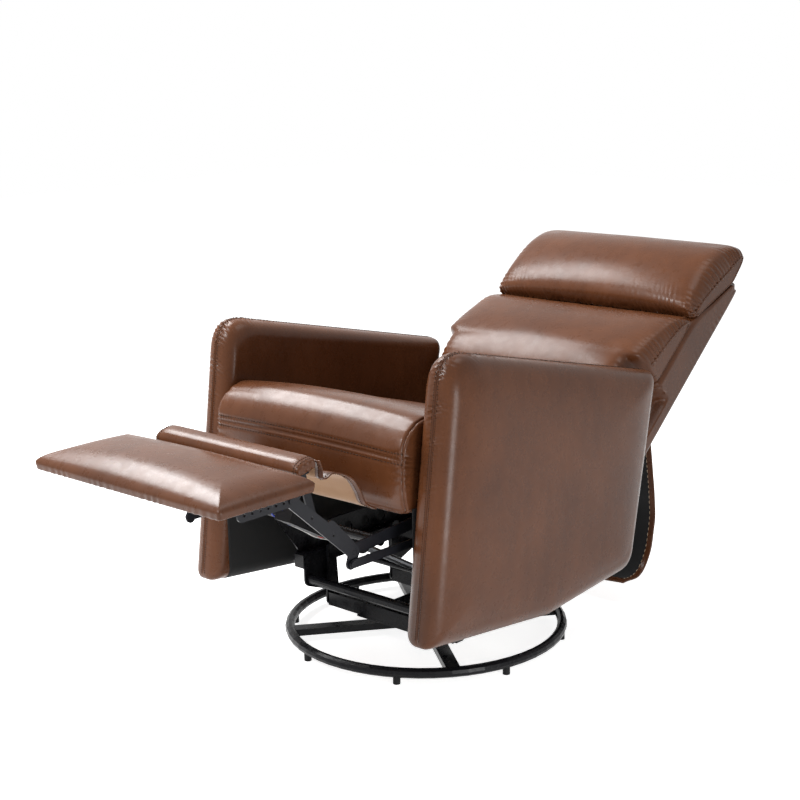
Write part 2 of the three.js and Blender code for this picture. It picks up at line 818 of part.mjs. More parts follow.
// Padded flap behind the footrest on its two bent arms
function makeFlap(group) {
  const [y, z] = flapCentre;
  const halfDepth = flapDepth / 2;
  const halfThick = flapThickness / 2;
  const loop = padOutline([
    [y + halfDepth - halfThick / 2, z - halfThick],
    [y + halfDepth, z],
    [y + halfDepth - halfThick, z + halfThick],
    [y, z + halfThick],
    [y - halfDepth + halfThick, z + halfThick],
    [y - halfDepth, z],
    [y - halfDepth + halfThick / 2, z - halfThick],
  ], flapSteps).map((point) => point.rotateAround(new THREE.Vector2(y, z), flapTilt * degrees));
  mesh(group, "middle_flap", loftAcross(loop, flapHalfWidth, softSlices, roundedEnds(halfThick / 2, 0)), leather);

  const under = halfThick + gap + flapArmHalfWidth / 2;
  for (const [name, side] of mirrorSides) {
    const top = new THREE.Vector2(y, z - under).rotateAround(new THREE.Vector2(y, z), flapTilt * degrees);
    const outline = fuse(
      platePiece(bandRound([[...flapPivot, flapArmHalfWidth], [top.x, top.y - flapArmHalfWidth, flapArmHalfWidth]]),
        side * flapArmInner, side * (flapArmInner + plateThickness)),
      platePiece(bandRound([
        [top.x - halfDepth / 2, top.y - halfDepth / 2 * Math.sin(flapTilt * degrees), flapArmHalfWidth / 2],
        [top.x + halfDepth / 2, top.y + halfDepth / 2 * Math.sin(flapTilt * degrees), flapArmHalfWidth / 2],
      ]), side * flapArmInner, side * (flapArmInner + plateThickness)),
    );
    const hole = crossBore(...flapPivot, linkPinRadius + pinGap,
      side * (flapArmInner - overrun), side * (flapArmInner + plateThickness + overrun));
    mesh(group, `flap_arm_${name}`, cut(outline, hole), blackSteel);
  }
}

// Leather apron between the flap and the seat front
function makeApron(group) {
  const loop = sheetLoop([apronTop, apronFold, apronLow, apronEnd], apronThickness, apronSteps);
  mesh(group, "leg_apron", loftAcross(loop, apronHalfWidth, sheetSlices, noDraw, { sheet: true }), leatherInside);
}

// Drive: housing and cylinder on the drive tube, and a rod whose open fork takes the drive bar
function makeDrive(group) {
  const span = new THREE.Vector2(driveRear[0] - drivePivot[0], driveRear[1] - drivePivot[1]);
  const angle = span.angle();
  const place = (geometry) => {
    geometry.rotateX(angle);
    return geometry.translate(0, ...drivePivot);
  };
  const bodyGap = driveTubeRadius + gap;
  const housing = boxPiece(-housingWidth / 2, housingWidth / 2, -driveForward, housingLength - driveForward,
    -housingDepth / 2, housingDepth / 2);
  const cylinder = new THREE.CylinderGeometry(cylinderRadius, cylinderRadius, cylinderLength, roundSides);
  cylinder.translate(0, cylinderLength / 2, 0);
  const boreLength = cylinderLength - boreStart + overrun;
  const bore = new THREE.CylinderGeometry(rodRadius + pinGap, rodRadius + pinGap, boreLength, pinSides);
  bore.translate(0, boreStart + boreLength / 2, 0);
  const cross = crossBore(0, 0, bodyGap, -housingWidth, housingWidth, roundSides);
  mesh(group, "drive_body", place(cut(fuse(housing, cylinder), cross, bore)), blackPlastic);

  const length = span.length();
  const forkFront = length - driveBarRadius - driveSlackShort;
  const forkBack = length + driveBarRadius + driveSlack;
  const forkRoom = driveBarRadius + driveSlack;
  const rodLength = forkFront - rodStart;
  const rod = new THREE.CylinderGeometry(rodRadius, rodRadius, rodLength, pinSides);
  rod.translate(0, rodStart + rodLength / 2, 0);
  const fork = boxPiece(-forkWidth / 2, forkWidth / 2, forkFront - forkWall, forkBack,
    -forkRoom - forkWall, forkRoom + forkWall);
  const mouth = boxPiece(-forkWidth, forkWidth, forkFront, forkBack + overrun, -forkRoom, forkRoom);
  mesh(group, "drive_rod", place(cut(fuse(rod, fork), mouth)), steel);

  const route = new THREE.CatmullRomCurve3(leadRoute.map(([across, along, up]) =>
    new THREE.Vector3(across, along - driveForward, up)));
  const section = new THREE.Shape();
  section.absarc(0, 0, leadRadius, 0, 2 * Math.PI);
  const lead = new THREE.ExtrudeGeometry(section, {
    steps: leadSteps, curveSegments: leadSides / 2, extrudePath: route, bevelEnabled: false,
  });
  mesh(group, "drive_lead", place(lead), blackPlastic);

  const barHalf = railInner - gap;
  mesh(platform, "drive_bar", crossTube(...driveRear, driveBarRadius, tubeWall, barHalf), blackSteel);
}

// Upholstered arms: one rounded slab each
function makeArms(group) {
  const loop = roundedOutline([
    [armFrontHigh, armTopFront, armTopRadius],
    [armFront, armLowFront, armLowRadius],
    [(armFront + armBack) / 2, armLowMiddle, armTopRadius],
    [armBackLow, armLowBack, armBackLowRadius],
    [armBack, armTopBack, armBackTopRadius],
  ]).getPoints(armOutlineSteps).slice(0, -1);
  for (const [name, side] of mirrorSides) {
    const slab = loftAcross(loop, armThickness / 2, armSlices, roundedEnds(armCorner, 0));
    slab.translate(side * (armInner + armThickness / 2), 0, 0);
    mesh(group, `arm_${name}`, slab, leather);
  }
}

// Seat cushion with its crown and front seam, on a deck between the side plates
function makeSeat(group) {
  const frontMiddle = (seatLowFront + seatSeamHeight) / 2;
  const slope = (seatBackHeight - seatCrownHeight) / (seatBack - seatCrownDepth);
  const topAt = (share) => {
    const y = THREE.MathUtils.lerp(seatCrownDepth, seatBack, share);
    return [y, seatCrownHeight + slope * (y - seatCrownDepth)];
  };
  const loop = padOutline([
    [seatFront + seatRound, seatLowFront],
    [seatFront + seatNose, seatLowFront + seatRound / 2],
    [seatFront, frontMiddle],
    [seatFront + seatSeamDraw / 2, seatSeamHeight - seatSeamDraw],
    [seatFront + seatSeamDraw, seatSeamHeight],
    [seatFront + seatSeamDraw / 2, seatSeamHeight + seatSeamDraw],
    [seatFront + seatRound / 2, (seatSeamHeight + seatCrownHeight) / 2],
    [(seatFront + seatCrownDepth) / 2, seatCrownHeight - seatNose],
    topAt(0),
    topAt(1 / 3),
    topAt(2 / 3),
    [seatBack - seatRound, topAt(1)[1]],
    [seatBack, seatBackHeight - seatRound],
    [seatBack, seatLowBack + seatRound],
    [seatBack - seatRound, seatLowBack],
  ], seatSteps);
  const half = armInner - seatSideGap;
  mesh(group, "seat_cushion", loftAcross(loop, half, softSlices, roundedEnds(seatRound, seatCrown)), leather);

  const lowSlope = (seatLowBack - seatLowFront) / (seatBack - seatRound - (seatFront + seatRound));
  const under = (y) => seatLowFront + lowSlope * (y - seatFront - seatRound) - gap;
  const deckBack = seatBack - seatRound;
  const deck = new THREE.Shape([
    new THREE.Vector2(deckFront, under(deckFront)),
    new THREE.Vector2(deckFront, under(deckFront) - deckThickness),
    new THREE.Vector2(deckBack, under(deckBack) - deckThickness),
    new THREE.Vector2(deckBack, under(deckBack)),
  ]);
  mesh(group, "seat_deck", platePiece(deck, -(sideInner - gap), sideInner - gap), board);
}

// Depth and height of a place given along the back's lean and out from its rear face
function onBack(along, out) {
  const lean = backLean * degrees;
  return [
    backCorner[0] + along * Math.cos(lean) - out * Math.sin(lean),
    backCorner[1] + along * Math.sin(lean) + out * Math.cos(lean),
  ];
}

// The back is narrow between the arms and widens above them
function backShare(along) {
  const step = THREE.MathUtils.smoothstep(along, backStepLow, backStepHigh);
  return THREE.MathUtils.lerp(backLowHalfWidth / backHalfWidth, 1, step);
}

// Back: shell, cushion and headrest, drawn along the lean
function makeBack(group) {
  const shell = padOutline([
    [shellLow, shellEdge],
    [shellLow + shellEdge, 0],
    [-shellEdge, 0],
    [0, 0],
    [backStepLow, 0],
    [backStepHigh, 0],
    [shellTop - shellEdge, 0],
    [shellTop, shellEdge],
    [shellTop, shellTopThickness],
  ], shellSteps, [shellPinch, backStepHigh, backStepLow, shellLow].map((along) => [along, shellThickness]));
  const widening = { widthAt: backShare };
  mesh(group, "back_shell", loftAcross(shell, backHalfWidth, plainSlices, roundedEnds(shellEdge, 0), widening), leather);

  const rest = shellThickness + gap;
  const cushion = padOutline([
    [shellLow + shellEdge, rest],
    [shellLow, rest + shellEdge / 2],
    [shellLow + shellEdge / 2, cushionLowCrown],
    [(shellLow + cushionCrownPlace) / 2, (cushionLowCrown + cushionCrown) / 2],
    [cushionCrownPlace, cushionCrown],
    [(cushionCrownPlace + shellPinch) / 2, cushionCrown - shellEdge],
    [shellPinch - cushionShoulder, (cushionCrown + shellThickness) / 2 + shellEdge],
    [shellPinch - gap, rest + pinchRise],
    [shellPinch - shellEdge, rest],
  ], cushionSteps, [backStepHigh, backStepLow].map((along) => [along, rest]));
  const plump = roundedEnds(shellEdge, cushionMiddle);
  mesh(group, "back_cushion", loftAcross(cushion, backHalfWidth, softSlices, plump, widening), leather);

  const slopeUp = (shellTopThickness - shellThickness) / (shellTop - shellPinch);
  const shellAt = (place) => shellThickness + slopeUp * (place - shellPinch) + gap;
  const head = padOutline([
    [shellPinch + shellEdge, shellAt(shellPinch + shellEdge)],
    [shellPinch + pinchTuck, rest + shellEdge],
    [shellPinch + shellEdge, headCrown - shellEdge],
    [headCrownPlace, headCrown],
    [(headCrownPlace + headTip) / 2, headSlopeHeight],
    [headTip - headTipReturn, headTipHeight + headBrow],
    [headTip, headTipHeight],
    [shellTop + headUnderReach, shellTopThickness + shellEdge],
    [shellTop, shellAt(shellTop) + pinchTuck],
    [shellTop - shellEdge, shellAt(shellTop - shellEdge)],
  ], headSteps);
  const rolled = roundedEnds(shellEdge, headMiddle);
  mesh(group, "headrest_cushion", loftAcross(head, backHalfWidth, softSlices, rolled), leather);
}

// Plates that carry the back on its recline pivots
function makeBackPlates(group) {
  const radius = linkHalfWidth;
  const edge = shellLow - gap - radius;
  for (const [name, side] of mirrorSides) {
    const outline = bandRound([
      [...backPivot, sidePivotEdge],
      [...onBack(edge, hingePlateFar), radius],
      [...onBack(edge, hingePlateReach), radius],
    ]);
    addHole(outline, ...backPivot, linkPinRadius + pinGap);
    mesh(group, `back_plate_${name}`, platePiece(outline, side * frontLinkInner, side * frontLinkOuter), blackSteel);
  }
}

// Skirt that hangs from the rear of the back
function makeSkirt(group) {
  const top = onBack(0, -gap - (skirtThickness / 2) * Math.sin(backLean * degrees));
  const loop = sheetLoop([
    top,
    [top[0] + skirtThickness, top[1] - skirtTuck],
    [skirtBulge[0] - skirtEase, (top[1] + skirtBulge[1]) / 2],
    skirtBulge,
    [skirtBulge[0] - skirtKnee, (skirtBulge[1] + skirtHem[1]) / 2 - skirtKneeDrop],
    [(skirtBulge[0] + skirtHem[0]) / 2 + skirtThickness, skirtHem[1] + skirtThickness / 2],
    skirtHem,
  ], skirtThickness, skirtSteps);
  mesh(group, "rear_skirt", loftAcross(loop, skirtHalfWidth, sheetSlices, noDraw, { sheet: true }), leather);
}

makeFloorBase(recliner);
makeTurntable(turntable);
makeSwingLinks(turntable);
makePlatform(platform);
makeSidePlates(platform);
makeSeat(platform);
makeArms(platform);
makeFootrestLinks(footrest);
makeFootrest(footrest);
makeFlap(footrest);
makeApron(platform);
makeDrive(footrest);
const leaned = new THREE.Group();
leaned.position.set(0, ...backCorner);
leaned.rotation.x = backLean * degrees;
back.add(leaned);
makeBack(leaned);
makeBackPlates(back);
makeSkirt(back);

// The finished chair stands with the middle of its box over the origin
recliner.updateMatrixWorld(true);
const extent = new THREE.Box3().setFromObject(recliner, true);
const middle = extent.getCenter(new THREE.Vector3());
recliner.position.set(-middle.x, -middle.y, -extent.min.z);

const pivots = {
  swivel: [0, 0],
  front_swing: [-swingDepth, swingTop],
  rear_swing: [swingDepth, swingTop],
  platform_level: [-swingDepth, swingTop - swingLength],
  rear_link: rearPivot,
  middle_link: middlePivot,
  footrest_tilt: footrestPivot,
  guide_link: guidePivot,
  flap: flapPivot,
  drive: drivePivot,
  drive_rear: driveRear,
  recline: backPivot,
};
for (const [name, [y, z]] of Object.entries(pivots)) {
  console.log(`${name}: y ${(y - middle.y).toFixed(2)} z ${(z - extent.min.z).toFixed(2)}`);
}

export default recliner;
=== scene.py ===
"""Looks of a swivel glider recliner: upholstery, stitching, finishes, lights and camera.

Metres, +Z up. The sitter faces -Y and +X is the sitter's left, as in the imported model.
"""

import json

import bpy
import numpy as np
from mathutils import Matrix, Vector


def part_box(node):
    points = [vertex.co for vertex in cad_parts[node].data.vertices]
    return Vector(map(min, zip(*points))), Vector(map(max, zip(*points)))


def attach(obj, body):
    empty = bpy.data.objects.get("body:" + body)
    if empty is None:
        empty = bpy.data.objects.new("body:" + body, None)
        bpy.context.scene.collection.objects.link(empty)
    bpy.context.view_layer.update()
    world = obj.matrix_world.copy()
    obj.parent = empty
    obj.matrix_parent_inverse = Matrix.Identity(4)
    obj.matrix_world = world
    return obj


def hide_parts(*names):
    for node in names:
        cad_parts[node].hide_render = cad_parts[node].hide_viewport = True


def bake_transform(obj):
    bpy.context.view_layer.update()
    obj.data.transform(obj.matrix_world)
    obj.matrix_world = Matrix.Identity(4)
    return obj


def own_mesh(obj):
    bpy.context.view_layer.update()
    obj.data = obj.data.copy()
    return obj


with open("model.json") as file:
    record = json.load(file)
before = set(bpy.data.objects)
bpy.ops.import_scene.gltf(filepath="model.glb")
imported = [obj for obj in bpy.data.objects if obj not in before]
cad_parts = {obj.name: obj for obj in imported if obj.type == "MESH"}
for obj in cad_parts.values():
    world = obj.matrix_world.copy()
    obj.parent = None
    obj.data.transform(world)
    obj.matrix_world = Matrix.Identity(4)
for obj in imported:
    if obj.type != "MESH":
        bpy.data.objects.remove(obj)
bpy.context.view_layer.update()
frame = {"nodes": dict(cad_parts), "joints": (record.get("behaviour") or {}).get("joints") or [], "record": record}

# Camera and studio.
# A long lens looks down from the sitter's front left, as in the photograph. Its place was fitted
# to the round floor ring and the straight edges of the arms.
swivel_y = next(joint["pos_m"][1] for joint in frame["joints"] if joint["name"] == "swivel")
camera_place = (2.256, -2.521 + swivel_y, 1.321)
camera_right = Vector((0.73827, 0.67423, -0.01834))
camera_up = Vector((-0.14039, 0.1802, 0.97354))
camera_back = camera_right.cross(camera_up)
camera_turn = Matrix((camera_right, camera_up, camera_back)).transposed().to_4x4()
photo_camera = bpy.data.cameras.new("photo_camera")
photo_camera.lens = 72.26
photo_camera.sensor_width = 36
camera = bpy.data.objects.new("photo_camera", photo_camera)
camera.matrix_world = Matrix.Translation(camera_place) @ camera_turn
bpy.context.scene.collection.objects.link(camera)
bpy.context.scene.camera = camera
bpy.context.scene.view_settings.view_transform = "Standard"


def node_tree(owner):
    """Empties a node tree and gives back the function that fills it. That one adds a node with its
    settings and inputs, each input called by its name, or by its number after an underscore."""
    owner.use_nodes = True
    tree = owner.node_tree
    tree.nodes.clear()

    def add(kind, settings=None, **inputs):
        node = tree.nodes.new(kind)
        for name, value in (settings or {}).items():
            setattr(node, name, value)
        for name, value in inputs.items():
            key = int(name[1:]) if name[0] == "_" else name.replace("_", " ")
            if isinstance(value, bpy.types.NodeSocket):
                tree.links.new(value, node.inputs[key])
            else:
                node.inputs[key].default_value = value
        return node

    return add


def sum_node(add, operation, *values):
    """The value of a sum on two or three values."""
    inputs = {f"_{place}": value for place, value in enumerate(values)}
    return add("ShaderNodeMath", {"operation": operation}, **inputs).outputs[0]


def seen_directly(add):
    """One for rays from the camera, through glass or off a gloss, and nought for all others."""
    rays = add("ShaderNodeLightPath").outputs
    straight = sum_node(add, "MAXIMUM", rays["Is Camera Ray"], rays["Is Transmission Ray"])
    return sum_node(add, "MAXIMUM", straight, rays["Is Glossy Ray"])


def soft_light(name, place, aim, size, power):
    """A flat white softbox at a place, turned to face an aim point."""
    lamp = bpy.data.lights.new(name, "AREA")
    lamp.shape = "RECTANGLE"
    lamp.size, lamp.size_y = size
    lamp.energy = power
    holder = bpy.data.objects.new(name, lamp)
    holder.location = place
    holder.rotation_euler = (Vector(aim) - Vector(place)).to_track_quat("-Z", "Y").to_euler()
    bpy.context.scene.collection.objects.link(holder)


soft_light("high_left_softbox", (-1.80, -0.25, 2.65), (0, 0, 0.5), (1.5, 1.4), 114)
soft_light("front_softbox", (-0.75, -2.6, 2.5), (0, -0.3, 0.45), (1.0, 0.6), 72)
soft_light("overhead_softbox", (0.9, 0.5, 3.0), (0, 0, 0.4), (1.6, 1.2), 16)
soft_light("side_strip", (1.60, -0.48, 0.34), (0.36, -0.32, 0.40), (0.42, 0.62), 8)

white = (1, 1, 1, 1)
studio = bpy.data.worlds.new("studio")
bpy.context.scene.world = studio
add = node_tree(studio)
strength = add("ShaderNodeMapRange", None, Value=seen_directly(add), To_Min=0.24, To_Max=1.0)
backdrop = add("ShaderNodeBackground", None, Color=white, Strength=strength.outputs[0])
add("ShaderNodeOutputWorld", None, Surface=backdrop.outputs[0])

floor_mesh = bpy.data.meshes.new("studio_floor")
far = 9.0
floor_corners = [(-far, -far, 0), (far, -far, 0), (far, far, 0), (-far, far, 0)]
floor_mesh.from_pydata(floor_corners, [], [(0, 1, 2, 3)])
studio_floor = bpy.data.objects.new("studio_floor", floor_mesh)
bpy.context.scene.collection.objects.link(studio_floor)
floor_paint = bpy.data.materials.new("floor_paint")
add = node_tree(floor_paint)
matt = add("ShaderNodeBsdfDiffuse", None, Color=(0.88, 0.88, 0.88, 1)).outputs[0]
glow = add("ShaderNodeEmission", None, Color=white, Strength=0.86).outputs[0]
bright = add("ShaderNodeAddShader", None, _0=matt, _1=glow).outputs[0]
paint = add("ShaderNodeMixShader", None, Fac=seen_directly(add), _1=matt, _2=bright)
add("ShaderNodeOutputMaterial", None, Surface=paint.outputs[0])
floor_mesh.materials.append(floor_paint)


# Arms.
# Wooden box frames under foam, in brown coated leather. One double-stitched seam runs up the front,
# over the top and down the rear, and pulls the leather into puckers at the top front corner.
def new_finish(name):
    """A material with an empty node tree, the function that fills it and its Object coordinates."""
    finish = bpy.data.materials.new(name)
    add = node_tree(finish)
    return finish, add, add("ShaderNodeTexCoord").outputs["Object"]


def noise(add, where, scale, detail=2.0, roughness=0.5):
    """The value of a noise pattern."""
    return add("ShaderNodeTexNoise", None, Vector=where, Scale=scale, Detail=detail,
               Roughness=roughness).outputs[0]


def tones(add, share, first, second):
    """A colour between two others by a share."""
    mix = add("ShaderNodeMix", {"data_type": "RGBA"}, _0=share, _6=first, _7=second)
    return mix.outputs[2]


def raised(add, height, strength, distance, **under):
    """Normals over a height pattern."""
    return add("ShaderNodeBump", None, Strength=strength, Distance=distance, Height=height,
               **under).outputs[0]


def surface(add, colour, roughness, normal, **more):
    """The surface shader and the material's output."""
    shader = add("ShaderNodeBsdfPrincipled", None, Base_Color=colour, Roughness=roughness,
                 Normal=normal, **more)
    add("ShaderNodeOutputMaterial", None, Surface=shader.outputs[0])


def spread(add, value, low, high, to_low=0.0, to_high=1.0):
    """A value carried from one range to another and kept inside it."""
    return add("ShaderNodeMapRange", None, Value=value, From_Min=low, From_Max=high,
               To_Min=to_low, To_Max=to_high).outputs[0]


def leather(name, colour, deep, roughness):
    """Smooth coated leather: a brown that drifts between two tones, a fine pebble, faint creases."""
    finish, add, where = new_finish(name)
    stretch = add("ShaderNodeMapping", None, Vector=where, Scale=(1.0, 1.0, 0.22))
    brushed = noise(add, stretch.outputs[0], 34.0, 4.0)
    tone = sum_node(add, "MULTIPLY_ADD", brushed, 0.35, noise(add, where, 5.5, 5.0, 0.6))
    brown = tones(add, spread(add, tone, 0.45, 0.93), deep, colour)
    crease = noise(add, where, 42.0, 6.0, 0.62)
    pores, pebble = noise(add, where, 1300.0, 1.0), noise(add, where, 430.0, 1.0)
    fine = sum_node(add, "MULTIPLY_ADD", pores, 0.35, pebble)
    rough = spread(add, crease, 0.3, 0.7, roughness - 0.05, roughness + 0.07)
    soft = raised(add, crease, 0.18, 0.0011)
    grain = raised(add, fine, 0.13, 0.00022, Normal=soft)
    surface(add, brown, rough, grain, IOR=1.45, Specular_IOR_Level=0.27)
    return finish


def unit(vectors):
    """Vectors over their lengths."""
    return vectors / np.maximum(np.linalg.norm(vectors, axis=-1, keepdims=True), 1e-12)


def run_along(line):
    """The distance travelled along a line at each of its points."""
    return np.concatenate([[0], np.cumsum(np.linalg.norm(np.diff(line, axis=0), axis=1))])


def even_points(line, count, closed=True):
    """A line given again by that many points, evenly spaced along its length."""
    line = np.vstack([line, line[:1]]) if closed else line
    run = run_along(line)
    places = np.linspace(0, run[-1], count, endpoint=not closed)
    return np.stack([np.interp(places, run, part) for part in line.T], axis=1)


def rounded_path(corners, count):
    """Even points round a closed outline of straight sides. Each corner (y, z, radius) is trimmed by
    the radius over the tangent of half its angle and joined by a quadratic curve."""
    corners = np.array(corners, float)
    t = np.linspace(0, 1, 24)[:, None]
    pieces = []
    for index, radius in enumerate(corners[:, 2]):
        here = corners[index, :2]
        back = unit(corners[index - 1, :2] - here)
        ahead = unit(corners[(index + 1) % len(corners), :2] - here)
        trim = radius / np.tan(np.arccos(back @ ahead) / 2)
        start, end = here + back * trim, here + ahead * trim
        pieces.append((1 - t) ** 2 * start + 2 * t * (1 - t) * here + t ** 2 * end)
    return even_points(np.concatenate(pieces), count)


def closed_skin(grid):
    """Points and quads of a grid (rows, columns, 3) that closes round its columns, with a pole at
    each end."""
    rows, columns = grid.shape[:2]
    index = np.arange(rows * columns).reshape(rows, columns)
    a, b = index[:-1], index[1:]
    quads = np.stack([a, np.roll(a, -1, 1), np.roll(b, -1, 1), b], axis=-1).reshape(-1, 4)
    low, high = rows * columns, rows * columns + 1
    first = np.stack([np.full(columns, low), np.roll(index[0], -1), index[0]], axis=1)
    last = np.stack([np.full(columns, high), index[-1], np.roll(index[-1], -1)], axis=1)
    points = np.vstack([grid.reshape(-1, 3), grid[0].mean(0), grid[-1].mean(0)])
    return points, [quads, np.vstack([first, last])]


def new_piece(name, points, face_sets, finishes=(), face_finish=None):
    """A smooth-shaded mesh object at the origin from whole arrays of points and faces."""
    mesh = bpy.data.meshes.new(name)
    sizes = np.concatenate([np.full(len(faces), faces.shape[1]) for faces in face_sets])
    corners = np.concatenate([faces.ravel() for faces in face_sets])
    mesh.vertices.add(len(points))
    mesh.vertices.foreach_set("co", np.asarray(points, np.float32).ravel())
    mesh.loops.add(len(corners))
    mesh.loops.foreach_set("vertex_index", corners.astype(np.int32))
    mesh.polygons.add(len(sizes))
    starts = np.concatenate([[0], np.cumsum(sizes)[:-1]])
    mesh.polygons.foreach_set("loop_start", starts.astype(np.int32))
    if face_finish is not None:
        mesh.polygons.foreach_set("material_index", face_finish.astype(np.int32))
    mesh.update(calc_edges=True)
    mesh.validate()
    mesh.polygons.foreach_set("use_smooth", np.ones(len(sizes), bool))
    for finish in finishes:
        mesh.materials.append(finish)
    piece = bpy.data.objects.new(name, mesh)
    bpy.context.scene.collection.objects.link(piece)
    return piece


def slopes_crossed(grid):
    """The cross product of a grid's slopes, round its columns and along its rows."""
    return np.cross(np.roll(grid, -1, 1) - np.roll(grid, 1, 1), np.gradient(grid, axis=0))


def outward(grid):
    """Unit normals of a closed grid, turned away from its middle."""
    normal = unit(slopes_crossed(grid))
    inside = ((grid - grid.mean((0, 1))) * normal).sum() < 0
    return -normal if inside else normal


def turned_out(grid):
    """The grid with its columns in the order that makes the faces point outwards."""
    inside = ((grid - grid.mean((0, 1))) * slopes_crossed(grid)).sum() < 0
    return grid[:, ::-1] if inside else grid


def rings_within(row, shares):
    """Copies of a row drawn in towards its middle, each by its share."""
    return row.mean(0) + (row - row.mean(0)) * shares[:, None, None]


def bell(away, width):
    """A bell curve: the exponential of minus the square of the distance over the width."""
    return np.exp(-(away / width) ** 2)


def pucker(along, away, pitch, reach, depth, seed):
    """Folds that run off a seam: a wave along it whose pitch and height wander, and which fades with
    the distance from it."""
    turn = np.random.default_rng(seed).uniform(0, 2 * np.pi, 4)
    wander = 0.9 * np.sin(2 * np.pi * along / (pitch * 4.7) + turn[0])
    wave = np.sin(2 * np.pi * along / pitch + wander + turn[1])
    swell = 0.55 + 0.45 * np.sin(2 * np.pi * along / (pitch * 7.3) + turn[2])
    return depth * wave * swell * np.exp(-np.abs(away) / reach)


def stitches(name, path, normal, finish, pitch=0.0052, length=0.0038, radius=0.00062):
    """Thread stitches along a path: each is a bead whose radius goes as the root of a sine and whose
    middle stands up in a low arch, all of them worked out as one array."""
    sides, rings = 6, 5
    path, normal = np.asarray(path, float), np.asarray(normal, float)
    run = run_along(path)
    centres = np.arange(pitch / 2, run[-1], pitch)

    def sample(values, where):
        """Values at distances along the path, on straight lines between its points."""
        return np.stack([np.interp(where, run, part) for part in values.T], axis=-1)

    middle = sample(path, centres)
    along = unit(sample(path, centres + 1e-3) - sample(path, centres - 1e-3))
    up = sample(normal, centres)
    up = unit(up - (up * along).sum(1, keepdims=True) * along)
    bead_frame = (middle, along, up, np.cross(along, up))
    middle, along, up, side = (part[:, None, None] for part in bead_frame)
    s = np.linspace(0.04, 0.96, rings)[:, None, None]
    turn = np.linspace(0, 2 * np.pi, sides, endpoint=False)[:, None]
    thick = radius * np.sqrt(np.sin(np.pi * s))
    rise = 0.7 * radius * np.sin(np.pi * s)
    body = (middle + along * (s - 0.5) * length + up * (rise + thick * np.sin(turn))
            + side * thick * np.cos(turn))
    index = np.arange(len(centres) * rings * sides).reshape(-1, rings, sides)
    a, b = index[:, :-1], index[:, 1:]
    quads = np.stack([a, b, np.roll(b, -1, 2), np.roll(a, -1, 2)], axis=-1).reshape(-1, 4)
    ends = np.concatenate([index[:, 0], index[:, -1, ::-1]])
    return new_piece(name, body.reshape(-1, 3), [quads, ends], [finish])


def thread(name, colour):
    """Polyester sewing thread with the twist of its strands as a fine bump."""
    finish, add, where = new_finish(name)
    darker = tuple(0.7 * part for part in colour[:3]) + (1,)
    shade = tones(add, noise(add, where, 60.0), colour, darker)
    twist = raised(add, noise(add, where, 1800.0), 0.5, 0.0002)
    surface(add, shade, 0.55, twist, Specular_IOR_Level=0.15)
    return finish


brown_leather = leather("brown_leather", (0.122, 0.042, 0.0155, 1), (0.074, 0.0245, 0.009, 1), 0.28)
brown_thread = thread("brown_thread", (0.035, 0.018, 0.011, 1))

arm_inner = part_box("arm_left")[0].x
arm_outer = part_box("arm_left")[1].x
inner_edge, outer_edge = 0.034, 0.052
face_slope, face_ease, face_back = np.radians(11), 0.045, 0.006
arm_seam = (arm_inner + arm_outer - face_back) / 2
arm_panel_rows = 40
seam_foot = 0.16
row_away = 0.0045
arm_corners = [(-0.300, 0.723, 0.062), (-0.378, 0.151, 0.017), (0.008, 0.112, 0.062),
               (0.308, 0.141, 0.046), (0.394, 0.569, 0.022)]
puckered_corner = (-0.325 + swivel_y, 0.700)
arm_outline = rounded_path(arm_corners, 620) + (swivel_y, 0)
arm_run = np.linalg.norm(arm_outline[1] - arm_outline[0]) * np.arange(len(arm_outline))


